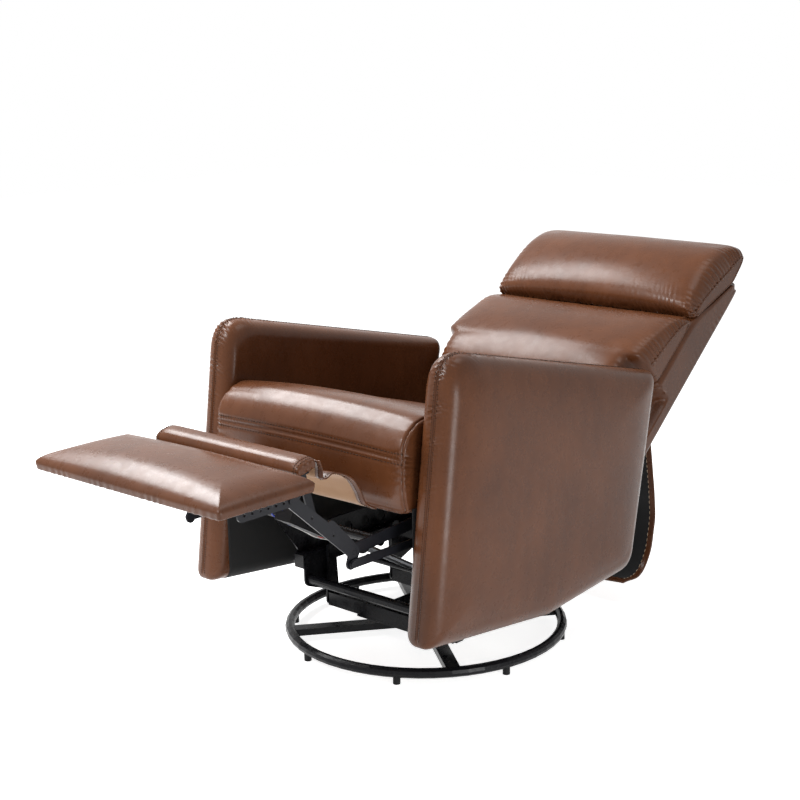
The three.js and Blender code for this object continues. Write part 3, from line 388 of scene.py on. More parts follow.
def arm_skin(side):
    """The outline carried across the arm. The edge rows follow a circle inside and an ellipse
    outside. The outer face meets that at a small slope that dies away exponentially, and the seam
    is a groove with folds beside it."""
    outline = arm_outline
    slope = np.roll(outline, -1, 0) - np.roll(outline, 1, 0)
    inward = unit(np.stack([-slope[:, 1], slope[:, 0]], axis=1))
    centre = outline.mean(0)
    inward *= np.sign(((centre - outline) * inward).sum(1).mean())
    width = arm_outer - face_back - arm_inner
    turn = np.linspace(0, np.pi / 2, 14)
    flat = np.linspace(inner_edge, width - inner_edge, 25)[1:-1]
    eased = np.linspace(face_slope, np.pi / 2, 14)[::-1]
    across = np.concatenate([inner_edge * (1 - np.cos(turn)), flat,
                             width - inner_edge * (1 - np.cos(eased))])
    inset = np.concatenate([inner_edge * (1 - np.sin(turn)), np.zeros(len(flat)),
                            outer_edge * (1 - np.sin(eased))])
    away = (across - width / 2)[:, None]
    corner = np.argmin(np.linalg.norm(outline - puckered_corner, axis=1))
    from_corner = (arm_run - arm_run[corner] + arm_run[-1] / 2) % arm_run[-1] - arm_run[-1] / 2
    seamed = np.clip((outline[:, 1] - seam_foot) / 0.03, 0, 1)
    tight = bell(from_corner, 0.060) + 0.45 * bell(np.abs(from_corner) - 0.10, 0.07) + 0.10
    slanted = arm_run[None, :] + 0.35 * away
    folds = pucker(slanted, away, pitch=0.0105, reach=0.012, depth=0.0080, seed=7 + side)
    folds += pucker(slanted, away, pitch=0.0058, reach=0.007, depth=0.0036, seed=17 + side)
    folds *= (tight * seamed)[None, :] * (1 - bell(away, 0.005))
    groove = 0.0022 * bell(away, 0.0016) - 0.0008 * bell(np.abs(away) - row_away, 0.003)
    half = (outline.max(0) - outline.min(0)) / 2
    shell = centre + (outline - centre)[None] * (1 - inset[:, None, None] / half)
    shell = shell + inward[None] * (groove * seamed - folds)[:, :, None]
    x = np.broadcast_to((arm_inner + across)[:, None, None], shell.shape[:2] + (1,))
    rows = np.concatenate([x, shell], axis=2)
    shares = np.linspace(0.02, 0.985, arm_panel_rows)
    low, high = rings_within(rows[0], shares), rings_within(rows[-1], shares[::-1])
    from_edge = (1 - shares[::-1, None]) * np.linalg.norm(outline - centre, axis=1)
    high[..., 0] += np.tan(face_slope) * face_ease * (1 - np.exp(-from_edge / face_ease))
    grid = np.concatenate([low, rows, high])
    grid[..., 0] *= side
    return grid


for side, word in ((1, "left"), (-1, "right")):
    grid = turned_out(arm_skin(side))
    cover = new_piece(f"arm_cover_{word}", *closed_skin(grid), [brown_leather])
    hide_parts(f"arm_{word}")
    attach(cover, "platform")
    out = outward(grid)
    row_x = np.abs(grid[arm_panel_rows:-arm_panel_rows, 0, 0])
    for mark, offset in (("inner", -row_away), ("outer", row_away)):
        row = np.argmin(np.abs(row_x - arm_seam - offset)) + arm_panel_rows
        line, up = grid[row], out[row]
        kept = line[:, 2] > seam_foot + 0.005
        order = (np.arange(len(kept)) + np.argmax(~kept)) % len(kept)
        order = order[kept[order]]
        path = line[order] + 0.0002 * up[order]
        sewn = stitches(f"arm_stitches_{mark}_{word}", path, up[order], brown_thread)
        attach(sewn, "platform")


# Seat cushion.
# A foam seat in a leather cover, crowned over its front edge and fitted tightly between the arms.
# A top-stitched seam with a row on each side crosses the front. The ends are sewn to side panels.
def curve_through(a, b, c, d, steps):
    """Points of the smooth cubic curve from each b to its c, with a before and d after them."""
    a, b, c, d = a[:, None], b[:, None], c[:, None], d[:, None]
    t = np.linspace(0, 1, steps, endpoint=False)[None, :, None]
    square = (2 * a - 5 * b + 4 * c - d) * t ** 2
    return (0.5 * (2 * b + (c - a) * t + square + (3 * b - a - 3 * c + d) * t ** 3)).reshape(-1, 2)


def smooth_loop(places, count):
    """A closed smooth line through the places, given by evenly spaced points."""
    places = np.array(places, float)
    shifted = (np.roll(places, shift, 0) for shift in (1, 0, -1, -2))
    return even_points(curve_through(*shifted, 20), count)


def full_width(along, out):
    """A width that is the same everywhere."""
    return np.ones(along.shape)


def cushion_grid(loop, half_width, rows, edge, crown, panel_rows, width_at=full_width, fall=None):
    """A loop carried across the chair. The rows crowd towards the ends as a sine, where the loop is
    drawn in by a quarter circle of the edge radius, and end panels close it ring by ring. A fall
    takes the height over its floor down to a share of it at the ends, along a flat-topped curve."""
    centre = loop.mean(0)
    half = (loop.max(0) - loop.min(0)) / 2
    share = np.sin(np.linspace(-np.pi / 2, np.pi / 2, rows))
    past = np.maximum(0, np.abs(share) * half_width - (half_width - edge))
    inset = edge - np.sqrt(np.maximum(0, edge ** 2 - past ** 2))
    away = loop - centre
    flat = centre + away[None] * (1 - inset[:, None, None] / half)
    lift = np.maximum(0, away[:, 1]) / half[1]
    flat[..., 1] += crown * (1 - share[:, None] ** 2) * lift[None]
    if fall is not None:
        floor_at, end_share, power = fall
        kept = end_share + (1 - end_share) * np.sqrt(1 - np.abs(share[:, None]) ** power)
        floor = floor_at(flat[..., 0])
        flat[..., 1] = floor + (flat[..., 1] - floor) * kept
    x = half_width * share[:, None] * width_at(*loop.T)[None]
    body = np.concatenate([x[..., None], flat], axis=2)
    shrink = np.linspace(0.06, 0.94, panel_rows)
    low, high = rings_within(body[0], shrink), rings_within(body[-1], shrink)
    low[..., 0] = -half_width * width_at(low[..., 1], low[..., 2])
    high[..., 0] = half_width * width_at(high[..., 1], high[..., 2])
    return np.concatenate([low, body, high[::-1]])


def smoothed(ring, times):
    """A closed line whose points move half way to the mean of their neighbours, time and again."""
    for _ in range(times):
        ring = 0.5 * ring + 0.25 * (np.roll(ring, 1, 0) + np.roll(ring, -1, 0))
    return ring


def flat_ends(grid, panel_rows, half_width, width_at=full_width):
    """Redraws each end panel as rings shrunk evenly from a smoothed copy of the row at its seam, so
    the seam's folds stop there."""
    low, high = np.arange(panel_rows)[::-1], np.arange(-panel_rows, 0)
    shares = np.linspace(0.94, 0.06, panel_rows)
    for seam_row, panel in ((panel_rows, low), (-panel_rows - 1, high)):
        ring = smoothed(grid[seam_row], 60)
        rings = rings_within(ring, shares)
        rings[..., 0] = np.sign(ring[0, 0]) * half_width * width_at(rings[..., 1], rings[..., 2])
        grid[panel] = rings
    return grid


def evaluated(piece):
    """A piece with its modifiers at work."""
    return piece.evaluated_get(bpy.context.evaluated_depsgraph_get())


def points_of(mesh):
    """The places of a mesh's vertices, one to a row."""
    places = np.zeros(len(mesh.vertices) * 3, np.float32)
    mesh.vertices.foreach_get("co", places)
    return places.reshape(-1, 3)


def plump(name, grid, cap, sewn_down):
    """Fills a closed form: an evenly remeshed copy is blown up as cloth with no weight, held where it
    is sewn down, and no point of it moves further than the cap. The grid is then laid onto it along
    its normals."""
    frames = 20
    grid = turned_out(grid)
    bag = new_piece(name, *closed_skin(grid))
    even = bag.modifiers.new("Remesh", "REMESH")
    even.mode, even.voxel_size = "VOXEL", 0.0075
    bag.data = bpy.data.meshes.new_from_object(evaluated(bag))
    bag.modifiers.clear()
    start = points_of(bag.data)
    held = bag.vertex_groups.new(name="sewn_down")
    held.add(np.flatnonzero(sewn_down(start)).tolist(), 1.0, "REPLACE")
    cloth = bag.modifiers.new("Cloth", "CLOTH")
    cloth.settings.vertex_group_mass = "sewn_down"
    cloth.settings.use_pressure = True
    cloth.settings.uniform_pressure_force = 4.0
    cloth.settings.quality = 4
    cloth.settings.mass = 0.35
    cloth.settings.tension_stiffness = 15
    cloth.settings.compression_stiffness = 15
    cloth.settings.bending_stiffness = 2.5
    cloth.settings.effector_weights.gravity = 0
    cloth.point_cache.frame_start, cloth.point_cache.frame_end = 1, frames
    for number in range(1, frames + 1):
        bpy.context.scene.frame_set(number)
    step = points_of(evaluated(bag).data) - start
    reach = np.linalg.norm(step, axis=1, keepdims=True)
    bag.modifiers.clear()
    capped = start + step * np.minimum(1, cap / np.maximum(reach, 1e-9))
    bag.data.vertices.foreach_set("co", capped.ravel())
    bag.modifiers.new("Subdivision", "SUBSURF").levels = 1
    bpy.context.scene.frame_set(1)
    cover = new_piece(name + "_cover", *closed_skin(grid))
    laid = cover.modifiers.new("Shrinkwrap", "SHRINKWRAP")
    laid.target, laid.wrap_method = bag, "PROJECT"
    laid.use_negative_direction = laid.use_positive_direction = True
    laid.project_limit = 1.5 * cap
    points = points_of(evaluated(cover).data)
    bpy.data.objects.remove(cover)
    bpy.data.objects.remove(bag)
    swell = points[:-2].reshape(grid.shape) - grid
    for _ in range(40):
        swell = 0.5 * swell + 0.25 * (np.roll(swell, 1, 1) + np.roll(swell, -1, 1))
        swell[1:-1] = 0.5 * swell[1:-1] + 0.25 * (swell[2:] + swell[:-2])
    return grid + swell


def seam_line(grid, row=None, column=None, rows=slice(None)):
    """The points and normals along one row or one column of a grid, 0.3 mm proud of it."""
    out = outward(grid)
    if row is None:
        line, up = grid[rows, column], out[rows, column]
    else:
        line, up = np.vstack([grid[row], grid[row, :1]]), np.vstack([out[row], out[row, :1]])
    return line + 0.0003 * up, up


seat_places = np.array([
    (-0.336, 0.403), (-0.350, 0.415), (-0.3590, 0.4585), (-0.3590, 0.500), (-0.3565, 0.517),
    (-0.3570, 0.532), (-0.3475, 0.5545), (-0.3245, 0.574), (-0.285, 0.5865), (-0.19, 0.5645),
    (-0.1027, 0.537), (0.0, 0.509), (0.0797, 0.487), (0.18, 0.459), (0.238, 0.437),
    (0.256, 0.418), (0.257, 0.370), (0.240, 0.350), (0.06, 0.3685), (-0.14, 0.385)])
seat_half, seat_room = 0.2688, 0.2692
seat_panel_rows = 14
seat_seam = (-0.3565 + swivel_y, 0.519)
seat_row_away = 0.0085


def under_at(depth):
    """Height of the seat's underside, which falls evenly from 400 mm in front to 345 mm behind."""
    front, fall = -0.338 + swivel_y, 0.055 / 0.580
    return 0.400 - fall * (depth - front)


def seat_sewn(points):
    """The seat is sewn down along its ends and its underside."""
    at_ends = np.abs(points[:, 0]) > seat_half - 0.009
    return at_ends | (points[:, 2] < under_at(points[:, 1]) + 0.006)


seat_loop = smooth_loop(seat_places, 440) + (swivel_y, 0)
seat_start = cushion_grid(seat_loop, seat_half, rows=170, edge=0.007, crown=0.009,
                          panel_rows=seat_panel_rows)
seat_grid = plump("seat_bag", seat_start, 0.022, seat_sewn)
seat_grid[..., 0] = np.clip(seat_grid[..., 0], -seat_half, seat_half)
seat_grid[..., 2] = np.maximum(seat_grid[..., 2], under_at(seat_grid[..., 1]))
seat_out = outward(seat_grid)
middle_row = seat_grid[len(seat_grid) // 2]
seam_column = np.argmin(np.linalg.norm(middle_row[:, 1:] - seat_seam, axis=1))
step_along = np.linalg.norm(np.diff(middle_row, axis=0), axis=1).mean()
from_seam = (np.arange(seat_grid.shape[1]) - seam_column) * step_along
seat_x = seat_grid[..., 0]
groove = 0.0034 * bell(from_seam, 0.0020) - 0.0018 * bell(np.abs(from_seam) - 0.0045, 0.0028)
groove = groove + 0.0016 * bell(np.abs(from_seam) - 0.0090, 0.0018)
stitched = bell(np.abs(from_seam[None]) - seat_row_away, 0.0035)
fine_folds = 0.0011 * np.sin(2 * np.pi * seat_x / 0.0085) * stitched
seam_folds = pucker(seat_x, from_seam[None], pitch=0.011, reach=0.010, depth=0.0004, seed=3)
end_seam = seat_half - 0.006 - np.abs(seat_x)
front_part = np.clip((-0.15 + swivel_y - seat_grid[..., 1]) / 0.06, 0, 1)
slanted = seat_grid[..., 2] + 0.3 * seat_grid[..., 1]
end_folds = pucker(slanted, end_seam, pitch=0.019, reach=0.013, depth=0.0020, seed=5)
end_groove = 0.0042 * bell(end_seam, 0.0028)
relief = groove[None] - fine_folds - seam_folds + (end_groove - end_folds) * front_part
seat_grid = flat_ends(seat_grid - seat_out * relief[..., None], seat_panel_rows, seat_half)
seat_grid[..., 0] = np.clip(seat_grid[..., 0], -seat_room, seat_room)
seat_cover = new_piece("seat_cover", *closed_skin(seat_grid), [brown_leather])
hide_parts("seat_cushion")
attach(seat_cover, "platform")
nearby = middle_row[(seam_column + 4) % len(middle_row), 2]
higher = np.sign(nearby - middle_row[seam_column, 2])
for word, way in (("upper", 1), ("lower", -1)):
    column = seam_column + int(way * higher * round(seat_row_away / step_along))
    path, up = seam_line(seat_grid, column=column, rows=slice(24, -24))
    sewn = stitches(f"seat_stitches_{word}", path, up, brown_thread,
                    pitch=0.0085, length=0.0058, radius=0.0009)
    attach(sewn, "platform")


# Back.
# The back is a wooden frame with a leather rear cover. Its cushion and the headrest are foam in
# leather, sewn together along a deep pinch, and each has side panels with a gathered, piped seam.
back_corner = (0.491 + swivel_y, 0.406)
back_lean = np.radians(40.6)


def leaned(grid, corner, lean):
    """Turns a grid drawn as (x, along, out) by a lean about its corner, into the chair's frame."""
    along, out = grid[..., 1], grid[..., 2]
    y = corner[0] + along * np.cos(lean) - out * np.sin(lean)
    z = corner[1] + along * np.sin(lean) + out * np.cos(lean)
    return np.stack([grid[..., 0], y, z], axis=-1)


def smooth_step(value, start, end):
    """Nought before the start and one after the end, with a cubic between them."""
    step = np.clip((value - start) / (end - start), 0, 1)
    return step * step * (3 - 2 * step)


def back_width(along, out):
    """The back is 264 mm to each side between the arms. It eases out to full width where the upright
    back comes above the arms' rounded top edges."""
    narrow = 0.264 / 0.289
    return narrow + (1 - narrow) * smooth_step(along, 0.044, 0.068)


def shell_width(along, out):
    """The frame's share of its width: full behind the arms, then eased in to pass between them."""
    narrow = back_width(along, out)
    return narrow + (1 - narrow) * smooth_step(out, 0.046, 0.032)


def faded_ends(rows, panel_rows):
    """One for every row, falling as a square to nothing at the middle of each end panel."""
    fade = np.ones((rows, 1))
    fade[:panel_rows, 0] = np.linspace(0, 1, panel_rows) ** 2
    return np.minimum(fade, fade[::-1])


back_half = 0.2885
shell_panel_rows = 36
shell_places = [(-0.118, 0.012), (-0.106, 0.001), (-0.03, 0.0), (0.062, 0.0), (0.104, 0.0),
                (0.25, 0.0), (0.414, 0.001), (0.427, 0.012), (0.428, 0.030), (0.34, 0.0625),
                (0.25, 0.0955), (0.104, 0.096), (0.062, 0.096), (-0.03, 0.096), (-0.117, 0.0955),
                (-0.118, 0.05)]
shell_grid = cushion_grid(smooth_loop(shell_places, 420), back_half, rows=110, edge=0.014, crown=0.0,
                          panel_rows=shell_panel_rows, width_at=shell_width)
side_seam = shell_grid[..., 2] - 0.030
shell_folds = pucker(shell_grid[..., 1], side_seam, pitch=0.017, reach=0.012, depth=0.0009, seed=21)
gathered = (np.abs(shell_grid[..., 0]) > 0.255) & (shell_grid[..., 1] > 0.085)
shell_folds = shell_folds * faded_ends(len(shell_grid), shell_panel_rows) * gathered
shell_grid += outward(shell_grid) * shell_folds[..., None]
shell_skin = turned_out(leaned(shell_grid, back_corner, back_lean))
shell_cover = new_piece("back_cover", *closed_skin(shell_skin), [brown_leather])
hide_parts("back_shell")
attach(shell_cover, "back")


def ring_quads(index, first, second):
    """Quads of a grid that closes both ways, stepping along its first axis and then its second."""
    ahead = np.roll(index, -1, first)
    return np.stack([index, ahead, np.roll(ahead, -1, second), np.roll(index, -1, second)],
                    axis=-1).reshape(-1, 4)


def piping(name, path, up):
    """A welt cord sewn into a closed seam: a circle carried along the path on its normals."""
    radius, sides = 0.0022, 8
    side = np.cross(unit(np.roll(path, -1, 0) - np.roll(path, 1, 0)), up)
    turn = np.linspace(0, 2 * np.pi, sides, endpoint=False)[None, :, None]
    ring = path[:, None] + radius * (np.cos(turn) * up[:, None] + np.sin(turn) * side[:, None])
    index = np.arange(len(path) * sides).reshape(-1, sides)
    return new_piece(name, ring.reshape(-1, 3), [ring_quads(index, 0, 1)], [brown_leather])


def shell_front(along):
    """How far out the back's frame comes: level up to the pinch, then sloping back to its top."""
    pinch_at, level = 0.250, 0.0965
    slope = (0.030 - 0.096) / (0.428 - pinch_at)
    sloping = np.maximum(level + slope * (along - pinch_at), 0.0305)
    return np.where(along < pinch_at, level, sloping)


def gathered_cushion(name, loop, crown, end_share, pinches, seed, width_at=full_width):
    """A back or headrest pad: filled, kept off what it rests on, and gathered along its pinches and
    round its end seams, which lie low at its sides."""
    panel_rows, half_width = 30, back_half - 0.001
    start = turned_out(cushion_grid(loop, half_width, 150, 0.012, crown, panel_rows, width_at,
                                    (shell_front, end_share, 22)))

    def sewn_down(points):
        """The pad is held along its ends and where it rests on the frame."""
        at_ends = np.abs(points[:, 0]) > (back_half - 0.008) * width_at(points[:, 1], points[:, 2])
        return at_ends | (points[:, 2] < shell_front(points[:, 1]) + 0.007)

    def kept_clear(grid):
        """Keeps a grid within its width and off the frame, and gives back that width."""
        limit = back_half * width_at(grid[..., 1], grid[..., 2])
        grid[..., 0] = np.clip(grid[..., 0], -limit, limit)
        grid[..., 2] = np.maximum(grid[..., 2], shell_front(grid[..., 1]))
        return limit

    grid = plump(f"{name}_bag", start, 0.024, sewn_down)
    limit = kept_clear(grid)
    x = grid[..., 0]
    folds = 0
    for place, reach, depth, pitch in pinches:
        away = np.linalg.norm(start[..., 1:] - place, axis=2)
        folds = folds + pucker(x + 0.3 * away, away, pitch, reach, depth, seed)
        folds = folds + pucker(x - 0.2 * away, away, pitch * 0.53, reach * 0.6, depth * 0.4, seed + 5)
    end_away = np.abs(limit - 0.004 - np.abs(x))
    middle_row = grid[len(grid) // 2]
    run = run_along(middle_row)[None]
    end_folds = pucker(run, end_away, pitch=0.0145, reach=0.014, depth=0.0019, seed=seed + 1)
    grid = grid + outward(grid) * (folds + end_folds * (np.abs(x) > 0.2))[..., None]
    grid = flat_ends(grid, panel_rows, half_width, width_at)
    kept_clear(grid)
    skin = turned_out(leaned(grid, back_corner, back_lean))
    piece = new_piece(f"{name}_cover", *closed_skin(skin), [brown_leather])
    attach(piece, "back")
    for word, row in (("left", -panel_rows - 2), ("right", panel_rows + 1)):
        path, up = seam_line(skin, row=row)
        cord = piping(f"{name}_piping_{word}", smoothed(path[:-1], 60), up[:-1])
        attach(cord, "back")
    return piece


cushion_places = [(-0.104, 0.0968), (-0.114, 0.106), (-0.110, 0.127), (-0.066, 0.172), (-0.01, 0.203),
                  (0.05, 0.208), (0.10, 0.196), (0.16, 0.174), (0.213, 0.149), (0.244, 0.119),
                  (0.241, 0.0985), (0.15, 0.0968), (0.0, 0.0968)]
cushion_pinches = [((0.246, 0.112), 0.017, 0.0030, 0.014), ((-0.112, 0.115), 0.012, 0.0012, 0.02)]
back_cushion = gathered_cushion("back_cushion", smooth_loop(cushion_places, 400), 0.011, 0.52,
                                cushion_pinches, 11, back_width)
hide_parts("back_cushion")

head_places = [(0.266, 0.0925), (0.2575, 0.108), (0.266, 0.129), (0.298, 0.1385), (0.335, 0.1405),
               (0.38, 0.1375), (0.4215, 0.130), (0.465, 0.111), (0.499, 0.086), (0.506, 0.064),
               (0.490, 0.051), (0.464, 0.0425), (0.432, 0.0345), (0.412, 0.0385), (0.34, 0.0655)]
head_pinches = [((0.261, 0.104), 0.019, 0.0058, 0.0115), ((0.503, 0.060), 0.012, 0.0008, 0.022)]
headrest = gathered_cushion("headrest", smooth_loop(head_places, 400), 0.020, 0.42, head_pinches, 17)
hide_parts("headrest_cushion")

# Footrest.
# A board with a thin foam pad, wrapped in one piece of leather. The top rolls down into mitred
# corners, and the leather is gathered and folded in under the board.
pad_low, pad_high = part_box("footrest_pad")
board_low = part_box("footrest_board")[0]


def pillow_pad(rows=120, columns=640):
    """A rounded rectangle carried from under the board to the middle of the top. The height is the
    smaller of two quarter-ellipse rolls, one from each pair of edges, so they meet in mitred corners,
    and a low crown goes on top."""
    half_x, front, rear, corner = 0.2655, pad_low.y - 0.003, pad_high.y - 0.0005, 0.007
    corners = [(-half_x, front, corner), (half_x, front, corner), (half_x, rear, corner),
               (-half_x, rear, corner)]
    outline = rounded_path(corners, columns)
    centre = np.array([0, (front + rear) / 2])
    half_y = (rear - front) / 2
    low, side_top, high = board_low.z - 0.0014, board_low.z + 0.0100, pad_high.z - 0.005
    levels = np.array([(0.90, low), (0.95, low), (0.978, low), (0.986, low + 0.0008),
                       (0.991, low + 0.004), (0.995, low + 0.007), (0.999, side_top - 0.002),
                       (1.0, side_top)])
    roll = 0.074
    inset = np.concatenate([(1 - levels[:, 0]) * half_y, np.linspace(0, 1, rows)[1:] ** 1.5 * roll])
    scale = 1 - inset[:, None] / np.array([half_x, half_y])
    scale = np.vstack([scale, scale[-1] * np.linspace(1, 0.02, 24)[1:, None]])
    flat = centre + (outline - centre)[None] * scale[:, None]
    x, y = flat[..., 0], flat[..., 1] - centre[1]
    rise = 1
    for from_edge in (half_x - np.abs(x), half_y - np.abs(y)):
        step = 1 - np.clip(from_edge / roll, 0, 1)
        rise = np.minimum(rise, np.sqrt(np.clip(1 - step ** 2, 0, 1)))
    crown = 0.0135 * (1 - (x / half_x) ** 2) * (1 - (y / half_y) ** 2)
    z = side_top + (high - side_top) * rise + np.maximum(crown, 0)
    z[:len(levels)] = levels[:, 1:]
    return np.concatenate([flat, z[..., None]], axis=2)


pad_grid = pillow_pad()
pad_edge = pad_grid[8]
pad_run = np.cumsum(np.linalg.norm(np.diff(pad_edge, axis=0, append=pad_edge[:1]), axis=1))
pad_rise = pad_grid[..., 2] - board_low.z
pad_folds = pucker(pad_run[None], pad_rise, pitch=0.019, reach=0.012, depth=0.0006, seed=31)
pad_grid += outward(pad_grid) * pad_folds[..., None]
footrest_cover = new_piece("footrest_cover", *closed_skin(turned_out(pad_grid)), [brown_leather])
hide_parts("footrest_pad", "footrest_board")
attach(footrest_cover, "footrest")

# Middle flap.
# A narrow padded flap on two bent arms fills in behind the footrest. Its leather is sewn flat at
# both ends with two rows of stitches, so that it gathers there.
flap_half, flap_panel_rows = 0.2045, 6
flap_centre = (-0.549 + swivel_y, 0.533)
flap_places = [(0.0195, -0.0105), (0.0245, 0.001), (0.019, 0.0130), (0.0, 0.0160), (-0.016, 0.0125),
               (-0.0245, 0.0), (-0.0195, -0.0105), (0.0, -0.0108)]
flap_grid = cushion_grid(smooth_loop(flap_places, 200), flap_half, rows=120, edge=0.006, crown=0.0,
                         panel_rows=flap_panel_rows)
flap_end = flap_half - np.abs(flap_grid[..., 0])
flat_end = 1 - 0.30 * bell(flap_end, 0.014)
above = flap_grid[..., 2] > 0
flap_grid[..., 2] = np.where(above, flap_grid[..., 2] * flat_end, flap_grid[..., 2])
flap_folds = pucker(flap_grid[..., 1], flap_end, pitch=0.015, reach=0.010, depth=0.0007, seed=41)
flap_folds = flap_folds * faded_ends(len(flap_grid), flap_panel_rows)
flap_grid += outward(flap_grid) * flap_folds[..., None]
flap_skin = turned_out(leaned(flap_grid, flap_centre, np.radians(12)))
flap_cover = new_piece("flap_cover", *closed_skin(flap_skin), [brown_leather])
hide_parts("middle_flap")
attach(flap_cover, "flap")
row_x = flap_skin[flap_panel_rows:-flap_panel_rows, 0, 0]
for mark, inset in (("outer", 0.006), ("inner", 0.012)):
    for word, side in (("left", 1), ("right", -1)):
        row = np.argmin(np.abs(row_x - side * (flap_half - inset))) + flap_panel_rows
        path, up = seam_line(flap_skin, row=row)
        sewn = stitches(f"flap_stitches_{mark}_{word}", path, up, brown_thread)
        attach(sewn, "flap")

# Leg apron.
# A loose leather web joins the flap to the seat's front edge and moves with the flap. Its side edges
# are turned in and stitched, and the suede underside is tan.
suede, add, where = new_finish("tan_suede")
patches = noise(add, where, 16.0, 4.0)
tan = tones(add, patches, (0.30, 0.155, 0.07, 1), (0.42, 0.24, 0.12, 1))
nap = raised(add, noise(add, where, 900.0, 4.0), 0.5, 0.0005)
surface(add, tan, 0.9, nap, Sheen_Weight=0.35, Sheen_Roughness=0.5)


def open_line(places, count):
    """An open smooth line through the places, evenly spaced, with its unit normals and length."""
    p = np.array(places, float)
    p = np.vstack([2 * p[0] - p[1], p, 2 * p[-1] - p[-2]])
    line = curve_through(*(p[k:len(p) - 3 + k] for k in range(4)), 24)
    line = np.vstack([line, p[-2]])
    points = even_points(line, count, closed=False)
    slope = np.gradient(points, axis=0)
    normal = unit(np.stack([-slope[:, 1], slope[:, 0]], axis=1))
    return points, normal, run_along(line)[-1]


def sheet_skin(upper, lower):
    """Points and faces of a sheet with two grids as its sides and a rim of quads that joins them."""
    rows, columns = upper.shape[:2]
    index = np.arange(rows * columns).reshape(rows, columns)
    top = np.stack([index[:-1, :-1], index[:-1, 1:], index[1:, 1:], index[1:, :-1]],
                   axis=-1).reshape(-1, 4)
    loop = np.concatenate([index[0, :-1], index[:-1, -1], index[-1, :0:-1], index[:0:-1, 0]])
    below, ahead = loop + index.size, np.roll(loop, -1)
    rim = np.stack([loop, below, ahead + index.size, ahead], axis=1)
    points = np.vstack([upper.reshape(-1, 3), lower.reshape(-1, 3)])
    return points, [top, top[:, ::-1] + index.size, rim]


def lined_sheet(name, line, normal, x, lift, half_thick, turned_in, hem_rows, lining):
    """A leather sheet along an open line. Its middle is the line moved out by the lift, and its two
    sides stand off from that along the line's normals. The lower side shows its lining, except
    within the turned-in columns and the hem's rows."""
    flat = line[:, None] + normal[:, None] * lift[..., None] + (swivel_y, 0)
    across = np.broadcast_to(x[None, :, None], lift.shape + (1,))
    middle = np.concatenate([across, flat], axis=2)
    stand_off = np.broadcast_to(normal[:, None] * half_thick, lift.shape + (2,))
    half = np.concatenate([0 * across, stand_off], axis=2)
    points, faces = sheet_skin(middle + half, middle - half)
    rows, columns = lift.shape[0] - 1, lift.shape[1] - 1
    row, column = np.divmod(np.arange(rows * columns), columns)
    from_side = np.minimum(column, columns - 1 - column)
    lined = (from_side >= turned_in) & (row < rows - hem_rows)
    side = np.concatenate([np.zeros(len(faces[0])), lined, np.zeros(len(faces[2]))])
    return new_piece(name, points, faces, [brown_leather, lining], side), middle, half


def side_rows(middle, half, column, rows, proud):
    """Name, path and normals of the thread along both side edges of a sheet, on both its faces."""
    for word, place in (("left", -1 - column), ("right", column)):
        for face, way in (("outer", 1), ("inner", -1)):
            path = (middle + proud * way * half)[rows, place]
            yield f"{face}_{word}", path, way * half[rows, place]


apron_half = 0.212
apron_top = (-0.5225, 0.541)
apron_places = [apron_top, (-0.5165, 0.526), (-0.5150, 0.509), (-0.507, 0.505), (-0.489, 0.511),
                (-0.4637, 0.5045), (-0.4355, 0.486), (-0.417, 0.458), (-0.4034, 0.431),
                (-0.374, 0.4135)]
apron_line, apron_normal, apron_length = open_line(apron_places, 120)
apron_x = np.linspace(-apron_half, apron_half, 180)
down = np.linspace(0, 1, len(apron_line))[:, None]
hem = 0.0012 * bell(apron_half - np.abs(apron_x[None]) - 0.009, 0.004)
drift = 0.0030 * np.sin(2 * np.pi * apron_x[None] / 0.31 + 0.8 + 2.2 * down)
sag = 0.005 * (1 - (apron_x[None] / apron_half) ** 2)
lift = (drift - sag) * np.sin(np.pi * down) - hem
apron_web, middle, half = lined_sheet("apron_web", apron_line, apron_normal, apron_x, lift, 0.0011,
                                      turned_in=8, hem_rows=0, lining=suede)
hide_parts("leg_apron")
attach(apron_web, "flap")
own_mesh(apron_web)
for word, path, up in side_rows(middle, half, 4, slice(4, -4), 1.25):
    sewn = stitches(f"apron_stitches_{word}", path, up, brown_thread)
    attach(sewn, "flap")
    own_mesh(sewn)

# Rear skirt.
# A leather sheet, sewn to the back and lined with black cloth, hides the mechanism from behind. Its
# sides are turned in and sewn with a light thread.
black_cloth, add, where = new_finish("black_dust_cloth")
ink = tones(add, noise(add, where, 9.0), (0.004, 0.004, 0.0045, 1), (0.010, 0.010, 0.010, 1))
surface(add, ink, 0.92, raised(add, noise(add, where, 700.0, 5.0), 0.6, 0.0004))

pale_thread = thread("pale_thread", (0.55, 0.42, 0.30, 1))
skirt_half = 0.2575
skirt_edge = (0.4915, 0.4035)
skirt_places = [skirt_edge, (0.4955, 0.381), (0.510, 0.296), (0.522, 0.190), (0.502, 0.101),
                (0.462, 0.061), (0.395, 0.0585)]
skirt_line, skirt_normal, skirt_length = open_line(skirt_places, 130)
skirt_x = np.linspace(-skirt_half, skirt_half, 110)
down = np.linspace(0, 1, len(skirt_line))[:, None]
wave = pucker(down * skirt_length, skirt_half - np.abs(skirt_x[None]), pitch=0.085, reach=0.06,
              depth=0.0010, seed=61)
wave = wave + 0.0022 * np.sin(2 * np.pi * skirt_x[None] / 0.17 + 1.1) * down
wave = wave * np.minimum(1, down * 8)
skirt_cover, middle, half = lined_sheet("skirt_cover", skirt_line, skirt_normal, skirt_x, wave,
                                        0.0013, turned_in=3, hem_rows=8, lining=black_cloth)
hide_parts("rear_skirt")
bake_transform(skirt_cover)
